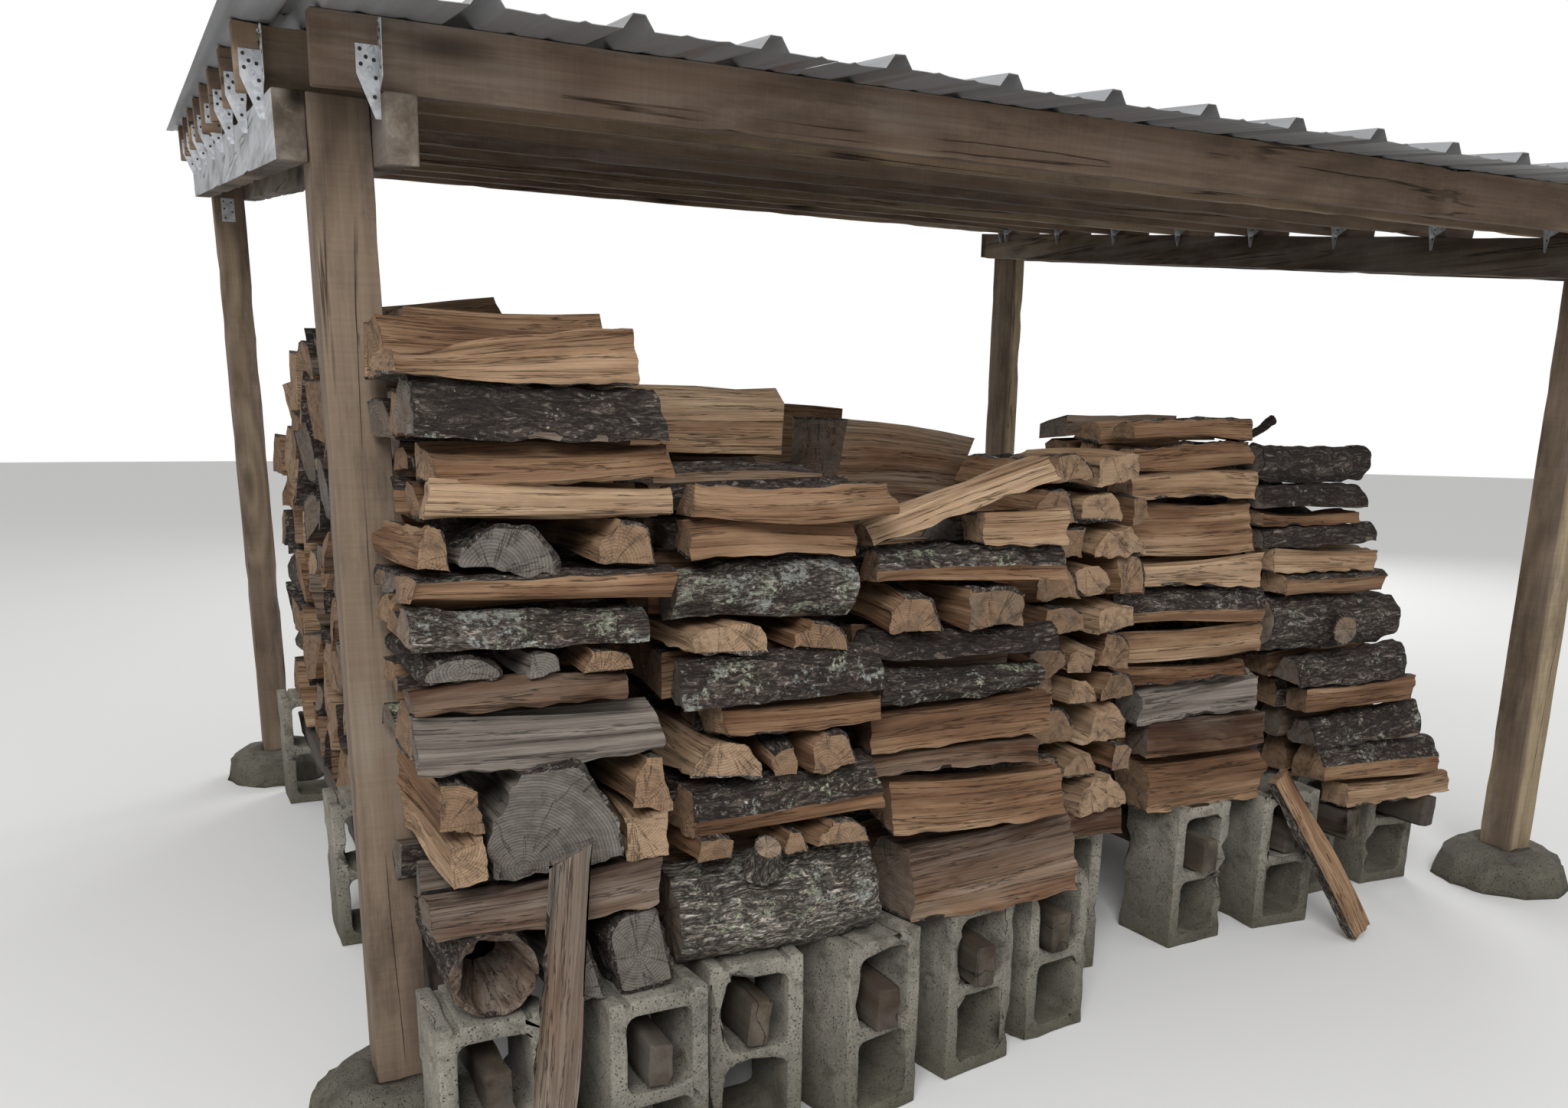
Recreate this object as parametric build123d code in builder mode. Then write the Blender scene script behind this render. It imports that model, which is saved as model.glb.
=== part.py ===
# Open-fronted log store: four rough-sawn posts on concrete footings, paired end beams that rise
# to the back, joists across them under a ribbed steel roof, and five rows of firewood on racks of
# concrete blocks with timber runners.
# Millimetres. X runs along the store, Y to the back, Z up. The origin is on the ground, in the
# middle of the store's plan.
from build123d import *
import math
import os
import random

# Posts
post_size = 102.0
post_spacing_x = 3421.0
post_spacing_y = 2847.0

# Concrete footings, a rough mound round the foot of each post
footing_height = 115.0
footing_foot_radius = 196.0
footing_shoulder_radius = 176.0
footing_shoulder_height = 78.0
footing_top_radius = 126.0
footing_sides = 11

# End beams, an inner and an outer one on each side of the posts
beam_width = 52.0
beam_height = 108.0
beam_under_front = 1805.0
roof_rise = 0.12
inner_beam_overhang = 142.0
outer_beam_setback = 8.0
beam_rear_overhang = 40.0

# Joists, laid flat side to the beams, along the store
joist_width = 45.0
joist_height = 108.0
joist_left_overhang = 95.0
joist_right_overhang = 22.0
front_joist_lead = 108.0
second_joist_back = 130.0
rear_joist_back = 2790.0
joist_count = 9

# Galvanized ties, one flange on the joist and one on the beam
tie_gauge = 1.2
tie_joist_flange = 36.0
tie_beam_flange = 33.0
tie_above_joist_foot = 66.0
tie_straight = 42.0
tie_tongue = 9.0
tie_tongue_drop = 40.0
tie_beam_drop = 102.0

# Roof sheets, ribs running down the slope
sheet_count = 4
ribs_per_sheet = 4
sheet_gauge = 1.0
rib_height = 22.0
rib_foot = 52.0
rib_crown = 20.0
sheet_side_overhang = 125.0
sheet_front_overhang = 200.0
sheet_rear_overhang = 120.0

# Two-core concrete blocks, stood on end
block_width = 194.0
block_depth = 194.0
block_height = 397.0
block_shell = 32.0
block_web = 28.0
end_groove_width = 11.0
end_groove_depth = 9.0
end_groove_inset = 34.0

# Blocks along the front: how far right of the left posts, how far behind the front posts' faces,
# the turn, how far the runner stands proud of the block, and whether the runner reaches the back
block_places = (
    (50.0, -399.0, 0.0, 14.0, True),
    (344.0, -426.0, 4.0, 10.0, True),
    (565.0, -352.0, -3.0, 6.0, True),
    (850.0, -379.0, 12.0, 30.0, True),
    (1145.0, -295.0, 11.0, 22.0, True),
    (1406.0, -225.0, 9.0, 12.0, True),
    (1640.0, 62.0, -4.0, 10.0, False),
    (1800.0, 262.0, 0.0, 16.0, True),
    (2100.0, 58.0, 3.0, 34.0, True),
    (2420.0, 66.0, -5.0, 12.0, True),
    (2690.0, 196.0, 2.0, 132.0, True),
    (3010.0, 196.0, -3.0, 132.0, False),
)

# Timber runners through the upper cores
runner_width = 62.0
runner_height = 104.0
short_runner = 420.0

# Firewood rows behind the front stacks: start right of the left posts, top and size of log
row_places = (
    (118.0, 1690.0, 200.0),
    (600.0, 1500.0, 250.0),
    (1180.0, 1500.0, 250.0),
    (1830.0, 1370.0, 240.0),
    (2400.0, 1330.0, 205.0),
)
log_length = 410.0
log_jitter = 12.0
rack_back = 2640.0
rear_stack_depth = 385.0
rear_courses = (142, 118, 150, 128, 136, 120, 146)

# Front stacks from the bottom up: a front line, and courses. A course is a log laid along the store,
# given by its section, start and length, with its like behind it, or ends, logs laid front to back,
# each given by its section, start and width, and by its height where it reaches into the next course.
# Starts are right of the left posts.
stack_one = (
    (158, ("ends", ("round", 78, 156), ("wedge", 252, 84), ("slab", 352, 128))),
    (86, ("along", "slab", 55, 409)),
    (96, ("ends", ("plank", 76, 68), ("half", 150, 240, 200.5), ("plank", 396, 92))),
    (104, ("ends", ("slab", 60, 84), ("wedge", 398, 82))),
    (94, ("along", "wedge", 51, 412)),
    (50, ("along", "slab", 47, 360)),
    (52, ("ends", ("half", 50, 150), ("slab", 226, 60), ("wedge", 312, 104))),
    (66, ("along", "half", 47, 390)),
    (54, ("along", "slab", 51, 434)),
    (76, ("ends", ("wedge", 60, 58), ("half", 126, 172), ("wedge", 344, 118))),
    (64, ("along", "plank", 90, 393)),
    (60, ("along", "slab", 93, 401)),
    (94, ("along", "half", 67, 407)),
    (96, ("along", "wedge", 46, 380)),
)
stack_two = (
    (214, ("along", "round", 506, 430)),
    (54, ("ends", ("slab", 520, 96), ("wedge", 702, 58), ("half", 770, 120))),
    (100, ("along", "half", 531, 380)),
    (76, ("ends", ("half", 530, 142), ("slab", 688, 56), ("wedge", 758, 102))),
    (62, ("along", "slab", 582, 330)),
    (88, ("along", "half", 516, 398)),
    (54, ("ends", ("slab", 512, 170), ("half", 722, 128))),
    (120, ("along", "round", 504, 345)),
    (62, ("along", "wedge", 523, 330)),
    (64, ("along", "half", 534, 387)),
)
stack_three = (
    (190, ("along", "half", 1032, 447)),
    (112, ("along", "wedge", 990, 426)),
    (65, ("along", "slab", 936, 400)),
    (84, ("along", "plank", 938, 419)),
    (90, ("along", "round", 955, 388)),
    (60, ("along", "half", 939, 432)),
    (88, ("ends", ("wedge", 960, 134), ("slab", 1106, 190))),
    (72, ("along", "half", 937, 458)),
    (72, ("along", "slab", 1180, 202)),
)
stack_four = (
    (150, ("along", "slab", 1998, 410)),
    (100, ("along", "wedge", 1990, 410)),
    (102, ("along", "slab", 1944, 420)),
    (54, ("along", "wedge", 1856, 440)),
    (92, ("along", "slab", 1868, 470)),
    (96, ("along", "half", 1856, 490)),
    (86, ("along", "plank", 1872, 440)),
    (134, ("along", "wedge", 1858, 430)),
    (80, ("along", "plank", 1856, 420)),
    (66, ("along", "half", 1860, 400)),
    (60, ("along", "wedge", 1856, 390)),
)
stack_five = (
    (120, ("along", "half", 2649, 465)),
    (100, ("along", "half", 2597, 410)),
    (84, ("along", "slab", 2560, 420)),
    (96, ("along", "half", 2512, 410)),
    (156, ("along", "round", 2384, 480)),
    (64, ("along", "slab", 2400, 398)),
    (70, ("along", "plank", 2350, 400)),
    (56, ("along", "half", 2326, 410)),
    (40, ("along", "slab", 2310, 360)),
    (70, ("along", "half", 2300, 380)),
    (100, ("along", "round", 2284, 400)),
)
# The stack between the third and the fourth, nearly all ends
stack_between = (
    (70, ("along", "slab", 1510, 330)),
    (92, ("ends", ("wedge", 1506, 150), ("half", 1664, 160))),
    (84, ("ends", ("slab", 1500, 128), ("half", 1636, 118), ("slab", 1762, 74))),
    (98, ("ends", ("half", 1504, 170), ("wedge", 1682, 142))),
    (76, ("ends", ("slab", 1502, 110), ("wedge", 1618, 96), ("half", 1722, 112))),
    (92, ("ends", ("round", 1508, 108), ("slab", 1622, 90), ("wedge", 1720, 108))),
    (84, ("ends", ("wedge", 1500, 164), ("slab", 1670, 156))),
    (100, ("ends", ("half", 1506, 122), ("round", 1634, 106), ("slab", 1746, 86))),
    (78, ("ends", ("slab", 1510, 148), ("half", 1664, 160))),
    (88, ("ends", ("wedge", 1504, 118), ("half", 1628, 130), ("slab", 1764, 66))),
    (70, ("ends", ("half", 1520, 140), ("slab", 1666, 140))),
)
front_stacks = (
    (-395.0, stack_one),
    (-378.0, stack_two),
    (-310.0, stack_three),
    (60.0, stack_four),
    (60.0, stack_five),
    (-30.0, stack_between),
)
front_stack_depth = 385.0
filler_depth = 135.0
least_log_depth = 104.0

# The low split in front of the last two blocks, on their runners
low_split_start = 2745.0
low_split_length = 452.0
low_split_depth = 112.0

# The first stack's top log is cut down to this height at its left end
top_log_left_height = 42.0

# Sawn stubs of branches on the round logs: stack, course, then right of the left posts, behind their
# faces and up, the way the stub points, its radius and its reach from there
branch_stubs = (
    (2, 0, (690.0, -272.0, 504.0), (-28.0, -126.0, 136.0), 30.0, 187.0),
    (5, 4, (2622.0, 120.0, 856.0), (-0.25, -0.97, 0.05), 44.0, 108.0),
)
stub_sides = 7

# Loose logs: a split that leans on the first block, one that leans on the last tall block, one that
# lies across the third stack, and a dark branched log on top of the last two rows
standing_split = (84.0, 34.0, 690.0)
standing_split_right = 176.0
standing_split_tilt = 5.6
leaning_split = (90.0, 38.0, 496.0)
leaning_split_block = 9
leaning_split_right = 62.0
leaning_split_way = (-170.0, 160.0, 400.0)
crossing_split = (104.0, 62.0, 428.0)
crossing_split_start = 930.0
top_log_size = (98.0, 86.0, 530.0)
top_log_right = 2110.0
top_log_back = 512.0
top_branch_way = (0.9, 0.0, 0.36)
top_branch_radius = 23.0
top_branch_reach = 250.0

# Clearances
seat = 0.3
lie = 0.5

# Derived places
foremost = min(back - proud for right, back, turn, proud, reaches in block_places)
overall_depth = post_spacing_y + post_size + sheet_rear_overhang - foremost
front_y = -overall_depth / 2 - foremost
half_span = (post_spacing_x + post_size) / 2
left_x = -half_span
slope = math.atan(roof_rise)
beam_top_front = beam_under_front + beam_height / math.cos(slope)
roof_plane = Plane(origin=(0, front_y, beam_top_front), x_dir=(1, 0, 0),
                   z_dir=(0, -math.sin(slope), math.cos(slope)))
along_slope = 1 / math.cos(slope)

os.makedirs("parts", exist_ok=True)


def write(part, label):
    """Name one finished piece and write it out."""
    part.label = label
    export_step(part, f"parts/{label}.step")


# Posts, their tops cut to the slope of the roof
def make_post(label, x, y):
    with BuildPart() as post:
        with BuildSketch(Plane.XY):
            with Locations((x + post_size / 2, y + post_size / 2)):
                Rectangle(post_size, post_size)
        extrude(amount=beam_top_front + post_spacing_y)
        split(bisect_by=roof_plane, keep=Keep.BOTTOM)
    write(post.part, label)


# Footings, rough mounds with the post standing through them
def drawn_in(low_radius, high_radius, height):
    """Taper in degrees that brings the flats of a footing from one radius to another."""
    return math.degrees(math.atan((low_radius - high_radius) * math.cos(math.pi / footing_sides) / height))


def make_footing(label, x, y, turned):
    top_height = footing_height - footing_shoulder_height
    with BuildPart() as footing:
        with BuildSketch(Plane.XY):
            with Locations((x + post_size / 2, y + post_size / 2)):
                RegularPolygon(footing_foot_radius, footing_sides, rotation=turned)
        extrude(amount=footing_shoulder_height,
                taper=drawn_in(footing_foot_radius, footing_shoulder_radius, footing_shoulder_height))
        with BuildSketch(Plane.XY.offset(footing_shoulder_height)):
            with Locations((x + post_size / 2, y + post_size / 2)):
                RegularPolygon(footing_shoulder_radius, footing_sides, rotation=turned)
        extrude(amount=top_height,
                taper=drawn_in(footing_shoulder_radius, footing_top_radius, top_height))
        with BuildSketch(Plane.XY):
            with Locations((x + post_size / 2, y + post_size / 2)):
                Rectangle(post_size, post_size)
        extrude(amount=footing_height, mode=Mode.SUBTRACT)
    write(footing.part, label)


for end, x in (("left", left_x), ("right", left_x + post_spacing_x)):
    for side, y in (("front", front_y), ("rear", front_y + post_spacing_y)):
        make_post(f"post_{side}_{end}", x, y)
        make_footing(f"footing_{side}_{end}", x, y, 7 if side == "front" else 20)


# A straight timber in the slope of the roof, by its corner nearest the front left and its size
def make_timber(label, corner, size):
    with BuildPart() as timber:
        with BuildSketch(roof_plane.offset(corner[2])):
            with Locations((corner[0] + size[0] / 2, corner[1] + size[1] / 2)):
                Rectangle(size[0], size[1])
        extrude(amount=size[2])
    write(timber.part, label)


# End beams
beam_rear = (post_spacing_y + post_size + beam_rear_overhang) * along_slope
inner_left_x = left_x + post_size
outer_left_x = left_x - beam_width
inner_right_x = left_x + post_spacing_x - beam_width
outer_right_x = left_x + post_spacing_x + post_size
for label, x, start in (
    ("end_beam_left_inner", inner_left_x, -inner_beam_overhang),
    ("end_beam_left_outer", outer_left_x, outer_beam_setback),
    ("end_beam_right_inner", inner_right_x, -inner_beam_overhang),
    ("end_beam_right_outer", outer_right_x, outer_beam_setback),
):
    make_timber(label, (x, start, -beam_height), (beam_width, beam_rear - start, beam_height))

# Joists: one in front of the posts, the others evenly from just behind them to the back
joist_pitch = (rear_joist_back - second_joist_back) / (joist_count - 2)
joist_length = joist_left_overhang + post_spacing_x + post_size + joist_right_overhang
joist_fronts = [-front_joist_lead]
joist_fronts += [second_joist_back + i * joist_pitch for i in range(joist_count - 1)]
for number, y in enumerate(joist_fronts, start=1):
    start_x = left_x if number == 1 else left_x - joist_left_overhang
    make_timber(f"joist_{number}", (start_x, y, 0), (joist_length, joist_width, joist_height))


# Ties: the joist flange stands on the joist's face, the beam flange on the beam's left face
def make_tie(x, joist_face, facing):
    """One bent tie at a beam's left face x; facing is -1 on a joist's front face, 1 on its rear face."""
    face = roof_plane.shift_origin(roof_plane.from_local_coords((x, joist_face, 0)))
    upright = Plane(face.origin, x_dir=(1, 0, 0), z_dir=face.y_dir * facing)
    up = 1 if facing < 0 else -1
    with BuildPart() as tie:
        with BuildSketch(upright):
            with BuildLine():
                Polyline(
                    (0, up * tie_above_joist_foot),
                    (-tie_joist_flange, up * tie_above_joist_foot),
                    (-tie_joist_flange, up * (tie_above_joist_foot - tie_straight)),
                    (-tie_tongue, -up * tie_tongue_drop),
                    (0, -up * tie_tongue_drop),
                    close=True,
                )
            make_face()
        extrude(amount=tie_gauge)
        with BuildSketch(Plane(face.origin, x_dir=face.y_dir * facing, z_dir=(-1, 0, 0))):
            with BuildLine():
                Polyline(
                    (0, up * tie_gauge),
                    (0, up * tie_beam_drop),
                    (tie_beam_flange, up * tie_beam_drop),
                    (tie_beam_flange, up * tie_tongue_drop / 2),
                    (tie_gauge, up * tie_gauge),
                    close=True,
                )
            make_face()
        extrude(amount=tie_gauge)
    return tie.part


left_ties = [make_tie(inner_left_x, joist_fronts[0], -1)]
left_ties += [make_tie(outer_left_x, y, -1) for y in joist_fronts[1:]]
right_ties = [make_tie(inner_right_x, y, -1) for y in joist_fronts]
right_ties.append(make_tie(inner_right_x, joist_fronts[-1] + joist_width, 1))
write(Compound(children=left_ties), "ties_left")
write(Compound(children=right_ties), "ties_right")

# Roof sheets: flat pans between trapezoid ribs, each sheet lapped under the next one's first rib
roof_width = 2 * (half_span + sheet_side_overhang)
rib_pitch = roof_width / (sheet_count * ribs_per_sheet)
sheet_width = rib_pitch * ribs_per_sheet
sheet_front = (-front_joist_lead - sheet_front_overhang) * along_slope
sheet_rear = (post_spacing_y + post_size + sheet_rear_overhang) * along_slope


def sheet_outline(start_x, last):
    """The upper line of one sheet, from its left edge to its right edge."""
    points = []
    for rib in range(ribs_per_sheet):
        middle = start_x + rib_pitch * (rib + 0.5)
        points += [
            (middle - rib_foot / 2, 0),
            (middle - rib_crown / 2, rib_height),
            (middle + rib_crown / 2, rib_height),
            (middle + rib_foot / 2, 0),
        ]
    end_x = start_x + sheet_width - (0 if last else lie)
    return [(start_x, 0)] + points + [(end_x, 0)]


for number in range(sheet_count):
    start_x = -roof_width / 2 + number * sheet_width
    outline = sheet_outline(start_x, number == sheet_count - 1)
    lower = Plane(roof_plane.from_local_coords((0, sheet_front, joist_height)), x_dir=(1, 0, 0),
                  z_dir=-roof_plane.y_dir)
    with BuildPart() as sheet:
        with BuildSketch(lower):
            with BuildLine():
                Polyline(*[(x, y + sheet_gauge) for x, y in outline])
                Polyline(*outline)
                Line((outline[0][0], 0), (outline[0][0], sheet_gauge))
                Line((outline[-1][0], 0), (outline[-1][0], sheet_gauge))
            make_face()
        extrude(amount=-(sheet_rear - sheet_front))
    write(sheet.part, f"roof_sheet_{number + 1}")


# Concrete blocks on end, cores running front to back
core_width = block_width - 2 * block_shell
core_height = (block_height - 2 * block_shell - block_web) / 2


def make_block(x, y, turned):
    front = Plane(origin=(x, y, 0), x_dir=(math.cos(turned), math.sin(turned), 0),
                  z_dir=(math.sin(turned), -math.cos(turned), 0))
    with BuildPart() as block:
        with BuildSketch(front):
            with Locations((block_width / 2, block_height / 2)):
                Rectangle(block_width, block_height)
            for side in (end_groove_inset, block_width - end_groove_inset):
                with Locations((side, block_height)):
                    Rectangle(end_groove_width, 2 * end_groove_depth, mode=Mode.SUBTRACT)
            with Locations((block_width / 2, block_shell + core_height / 2),
                           (block_width / 2, block_height - block_shell - core_height / 2)):
                Rectangle(core_width, core_height, mode=Mode.SUBTRACT)
        extrude(amount=-block_depth)
    return block.part


def make_runner(middle, front, back):
    with BuildPart() as runner:
        with BuildSketch(Plane.XY.offset(runner_foot)):
            with Locations((middle, (front + back) / 2)):
                Rectangle(runner_width, back - front)
        extrude(amount=runner_height)
    return runner.part


runner_foot = block_height - block_shell - core_height + seat
runner_top = runner_foot + runner_height
pier_back = (foremost + rack_back - block_depth) / 2
front_blocks = []
middle_blocks = []
rear_blocks = []
runners = []
for right, back, turn, proud, reaches in block_places:
    turned = math.radians(turn)
    front_blocks.append(make_block(left_x + right, front_y + back, turned))
    middle = left_x + right + (block_width * math.cos(turned) - block_depth * math.sin(turned)) / 2
    start = front_y + back - proud
    if reaches:
        middle_blocks.append(make_block(middle - block_width / 2, front_y + pier_back, 0))
        rear_blocks.append(make_block(middle - block_width / 2, front_y + rack_back - block_depth, 0))
        runners.append(make_runner(middle, start, front_y + rack_back))
    else:
        runners.append(make_runner(middle, start, start + short_runner))
write(Compound(children=front_blocks), "blocks_front")
write(Compound(children=middle_blocks), "blocks_middle")
write(Compound(children=rear_blocks), "blocks_rear")
write(Compound(children=runners), "runners")

# Firewood sections as shares of their width and thickness, each with a flat to lie on and to carry
sections = {
    "round": ((0.29, 0), (0.71, 0), (1, 0.3), (0.98, 0.7), (0.7, 1), (0.3, 1), (0.02, 0.72), (0, 0.3)),
    "half": ((0, 0), (1, 0), (0.97, 0.42), (0.72, 1), (0.28, 1), (0.03, 0.42)),
    "wedge": ((0.02, 0), (1, 0), (0.96, 0.62), (0.68, 1), (0.24, 1)),
    "slab": ((0.06, 0), (0.95, 0), (1, 0.78), (0.74, 1), (0.14, 1)),
    "plank": ((0, 0), (1, 0), (0.96, 1), (0.05, 1)),
}
fillers = ("slab", "wedge", "half", "slab", "wedge")


def log_section(name, width, thickness, draw):
    """A section of the given size with its low corner at zero, mirrored at random."""
    points = [(u * width, v * thickness) for u, v in sections[name]]
    if draw.random() < 0.5:
        points = [(width - u, v) for u, v in reversed(points)]
    return points


def moved(points, u, v):
    return [(a + u, b + v) for a, b in points]


def turned_section(points, angle):
    """A section turned about its corner and brought back to zero."""
    c = math.cos(angle)
    s = math.sin(angle)
    turned = [(u * c - v * s, u * s + v * c) for u, v in points]
    return moved(turned, -min(u for u, v in turned), -min(v for u, v in turned))


def make_log(points, plane, length, stub=None, cut=None):
    """A log, with a branch stub fused on, or cut down to a plane."""
    with BuildPart() as log:
        with BuildSketch(plane):
            with BuildLine():
                Polyline(*points, close=True)
            make_face()
        extrude(amount=length)
        if stub:
            foot, way, radius, reach = stub
            with BuildSketch(Plane(foot, z_dir=way)):
                RegularPolygon(radius, stub_sides)
            extrude(amount=reach)
        if cut:
            split(bisect_by=cut, keep=Keep.BOTTOM)
    return log.part


def log_along(points, x, length, stub=None, cut=None):
    """A log along the store, its section in Y and Z."""
    return make_log(points, Plane((x, 0, 0), x_dir=(0, 1, 0), z_dir=(1, 0, 0)), length, stub, cut)


def log_end_on(points, y, length):
    """A log front to back, its section in X and Z."""
    return make_log(points, Plane((0, y, 0), x_dir=(1, 0, 0), z_dir=(0, -1, 0)), -length)


# Stacks of courses
def along_course(front, z, thickness, listed, draw, stub, left_height):
    """The listed log at the front of a course, and others behind it to the stack's back."""
    name, start, length = listed
    logs = []
    depth = min(max(thickness * 1.15, least_log_depth), front_stack_depth * 0.55)
    cut = None
    if left_height:
        rise = thickness - left_height
        cut = Plane((left_x + start, 0, z + left_height), z_dir=(-rise, 0, length))
    logs.append(log_along(moved(log_section(name, depth, thickness, draw), front_y + front, z),
                          left_x + start, length, stub, cut))
    behind = front_stack_depth - depth
    count = max(1, round(behind / filler_depth))
    for place in range(count):
        width = behind / count * draw.uniform(0.86, 0.96)
        y = front_y + front + depth + behind * (place + 1) / count - width
        section = moved(log_section(draw.choice(fillers), width, thickness, draw), y, z)
        shift = draw.uniform(0, log_jitter)
        logs.append(log_along(section, left_x + start + shift, length - 2 * log_jitter))
    return logs


def ends_course(front, z, thickness, listed, draw):
    logs = []
    for name, start, width, *tall in listed:
        shift = draw.uniform(0, log_jitter)
        height = tall[0] if tall else thickness
        section = moved(log_section(name, width, height, draw), left_x + start, z)
        logs.append(log_end_on(section, front_y + front + shift, front_stack_depth - 2 * log_jitter))
    return logs


def in_store(right, back, up):
    """A point given right of the left posts, behind their faces and up from the ground."""
    return Vector(left_x + right, front_y + back, up)


def stub_of(stack, course):
    """The branch stub of a stack's course, or None."""
    for its_stack, its_course, foot, way, radius, reach in branch_stubs:
        if (its_stack, its_course) == (stack, course):
            return in_store(*foot), way, radius, reach
    return None


def make_stack(stack, front, courses, draw):
    logs = []
    z = block_height + lie
    for course, (thickness, (lay, *listed)) in enumerate(courses):
        if lay == "along":
            topmost = stack == 1 and course == len(courses) - 1
            logs += along_course(front, z, thickness, listed, draw, stub_of(stack, course),
                                 top_log_left_height if topmost else None)
        else:
            logs += ends_course(front, z, thickness, listed, draw)
        z += thickness + lie
    return logs


def stack_span(courses):
    """Where a stack starts and ends along the store."""
    starts = []
    ends = []
    for thickness, (lay, *listed) in courses:
        for name, start, size, *tall in ([listed] if lay == "along" else listed):
            starts.append(start)
            ends.append(start + size)
    return min(starts), max(ends)


# The body of a row: logs dropped one by one to the lowest place they fit
def chain_height(points, u, upper):
    """Height of a section's upper or lower line at u."""
    heights = []
    for (a, b), (c, d) in zip(points, points[1:] + points[:1]):
        if a == c == u:
            heights += [b, d]
        elif min(a, c) <= u <= max(a, c):
            heights.append(b + (d - b) * (u - a) / (c - a))
    return max(heights) if upper else min(heights)


def resting_lift(points, laid):
    """How far up a section has to be to lie on what is laid below it."""
    left = min(u for u, v in points)
    right = max(u for u, v in points)
    lift = 0.0
    for other, low, high in laid:
        if low >= right or high <= left:
            continue
        places = [u for u, v in points if low <= u <= high] + [u for u, v in other if left <= u <= right]
        for u in places:
            lift = max(lift, chain_height(other, u, True) - chain_height(points, u, False))
    return lift + lie


def spread(points):
    return points, min(u for u, v in points), max(u for u, v in points)


def drop_log(base, near, far, laid):
    """The lowest lie of a section between near and far, over eight turns."""
    best = None
    for eighth in range(8):
        section = turned_section(base, math.radians(45 * eighth))
        width = max(u for u, v in section)
        top = max(v for u, v in section)
        for step in range(24):
            u = near + (far - near - width) * step / 23
            lift = resting_lift(moved(section, u, 0), laid)
            if best is None or lift + 0.8 * top < best[0]:
                best = (lift + 0.8 * top, moved(section, u, lift), lift + top)
    return best[1], best[2]


def make_row(start, near, far, top, size, draw):
    pier_end = pier_back + block_depth
    laid = [
        spread([(near, 0), (far, 0), (far, runner_top), (near, runner_top)]),
        spread([(pier_back, 0), (pier_end, 0), (pier_end, block_height), (pier_back, block_height)]),
    ]
    for right, back, turn, proud, reaches in block_places:
        block_end = back + block_depth + block_width * math.sin(math.radians(abs(turn)))
        if start - block_width < right < start + log_length and block_end > near:
            laid.append(spread([(near, 0), (block_end, 0), (block_end, block_height), (near, block_height)]))
    logs = []
    misses = 0
    while misses < 3:
        name = draw.choice(("wedge", "wedge", "half", "slab", "round"))
        width = size * draw.uniform(0.72, 1.12)
        base = log_section(name, width, width * draw.uniform(0.72, 0.95), draw)
        placed, height = drop_log(base, near, far, laid)
        if height > top:
            misses += 1
            continue
        laid.append(spread(placed))
        shift = draw.uniform(0, 2 * log_jitter)
        logs.append(log_along(moved(placed, front_y, 0), left_x + start + shift, log_length - 2 * log_jitter))
    return logs, laid


def make_rear_stack(start, draw):
    """A criss-cross end like the front ones, its lowest course down on the runners too."""
    logs = []
    front = rack_back - rear_stack_depth
    z = block_height + lie
    for number, thickness in enumerate(rear_courses):
        if number % 2 == 0:
            for place in range(2):
                low = z if place == 1 or number > 0 else runner_top + lie
                width = (rear_stack_depth / 2 - 2 * lie) * draw.uniform(0.9, 0.98)
                y = front_y + front + (0 if place == 0 else rear_stack_depth - width)
                section = log_section(draw.choice(fillers), width, z + thickness - low, draw)
                logs.append(log_along(moved(section, y, low), left_x + start, log_length))
        else:
            share = log_length / 3
            for place in range(3):
                width = share * draw.uniform(0.8, 0.95)
                section = log_section(draw.choice(fillers), width, thickness, draw)
                x = left_x + start + share * place
                logs.append(log_end_on(moved(section, x, z), front_y + front, rear_stack_depth))
        z += thickness + lie
    return logs


for number, (front, courses) in enumerate(front_stacks, start=1):
    draw = random.Random(number)
    logs = make_stack(number, front, courses, draw)
    if number == 5:
        low = runner_top + lie
        section = log_section("plank", low_split_depth, block_height - low, draw)
        logs.append(log_along(moved(section, front_y + front + 2 * lie, low), left_x + low_split_start,
                              low_split_length))
    write(Compound(children=logs), f"front_stack_{number}")

rows_laid = []
for number, (start, top, size) in enumerate(row_places, start=1):
    draw = random.Random(20 + number)
    near = max(
        front + front_stack_depth
        for front, courses in front_stacks
        if stack_span(courses)[0] < start + log_length and stack_span(courses)[1] > start
    )
    far = rack_back - rear_stack_depth
    logs, laid = make_row(start, near + lie, far - lie, top, size, draw)
    rows_laid.append(laid)
    write(Compound(children=logs + make_rear_stack(start, draw)), f"firewood_row_{number}")


# Loose logs
def split_section(name, width, thickness):
    return [(u * width, v * thickness) for u, v in sections[name]]


def make_standing_split():
    """Stands on the ground against the first block's face, its head tilted to the right."""
    width, thickness, length = standing_split
    tilt = math.radians(standing_split_tilt)
    back = block_places[0][1] - lie - thickness
    foot = in_store(standing_split_right, back, width * math.sin(tilt) + lie)
    plane = Plane(foot, x_dir=(math.cos(tilt), 0, -math.sin(tilt)), z_dir=(math.sin(tilt), 0, math.cos(tilt)))
    return make_log(split_section("plank", width, thickness), plane, length)


def make_leaning_split():
    """Stands on the ground and leans back on the upper front edge of its block."""
    width, thickness, length = leaning_split
    right, back, turn, proud, reaches = block_places[leaning_split_block]
    turned = math.radians(turn)
    edge = Vector(math.cos(turned), math.sin(turned), 0)
    touch = in_store(right, back, block_height) + edge * leaning_split_right
    way = Vector(*leaning_split_way).normalized()
    toward_block = way.cross(edge).normalized()
    across = toward_block.cross(way)
    lowest = abs(across.Z) * width / 2
    foot = touch - way * ((block_height - lowest - lie) / way.Z)
    plane = Plane(foot, x_dir=across, z_dir=way)
    section = moved(split_section("plank", width, thickness), -width / 2, -thickness - lie)
    return make_log(section, plane, length)


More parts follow.
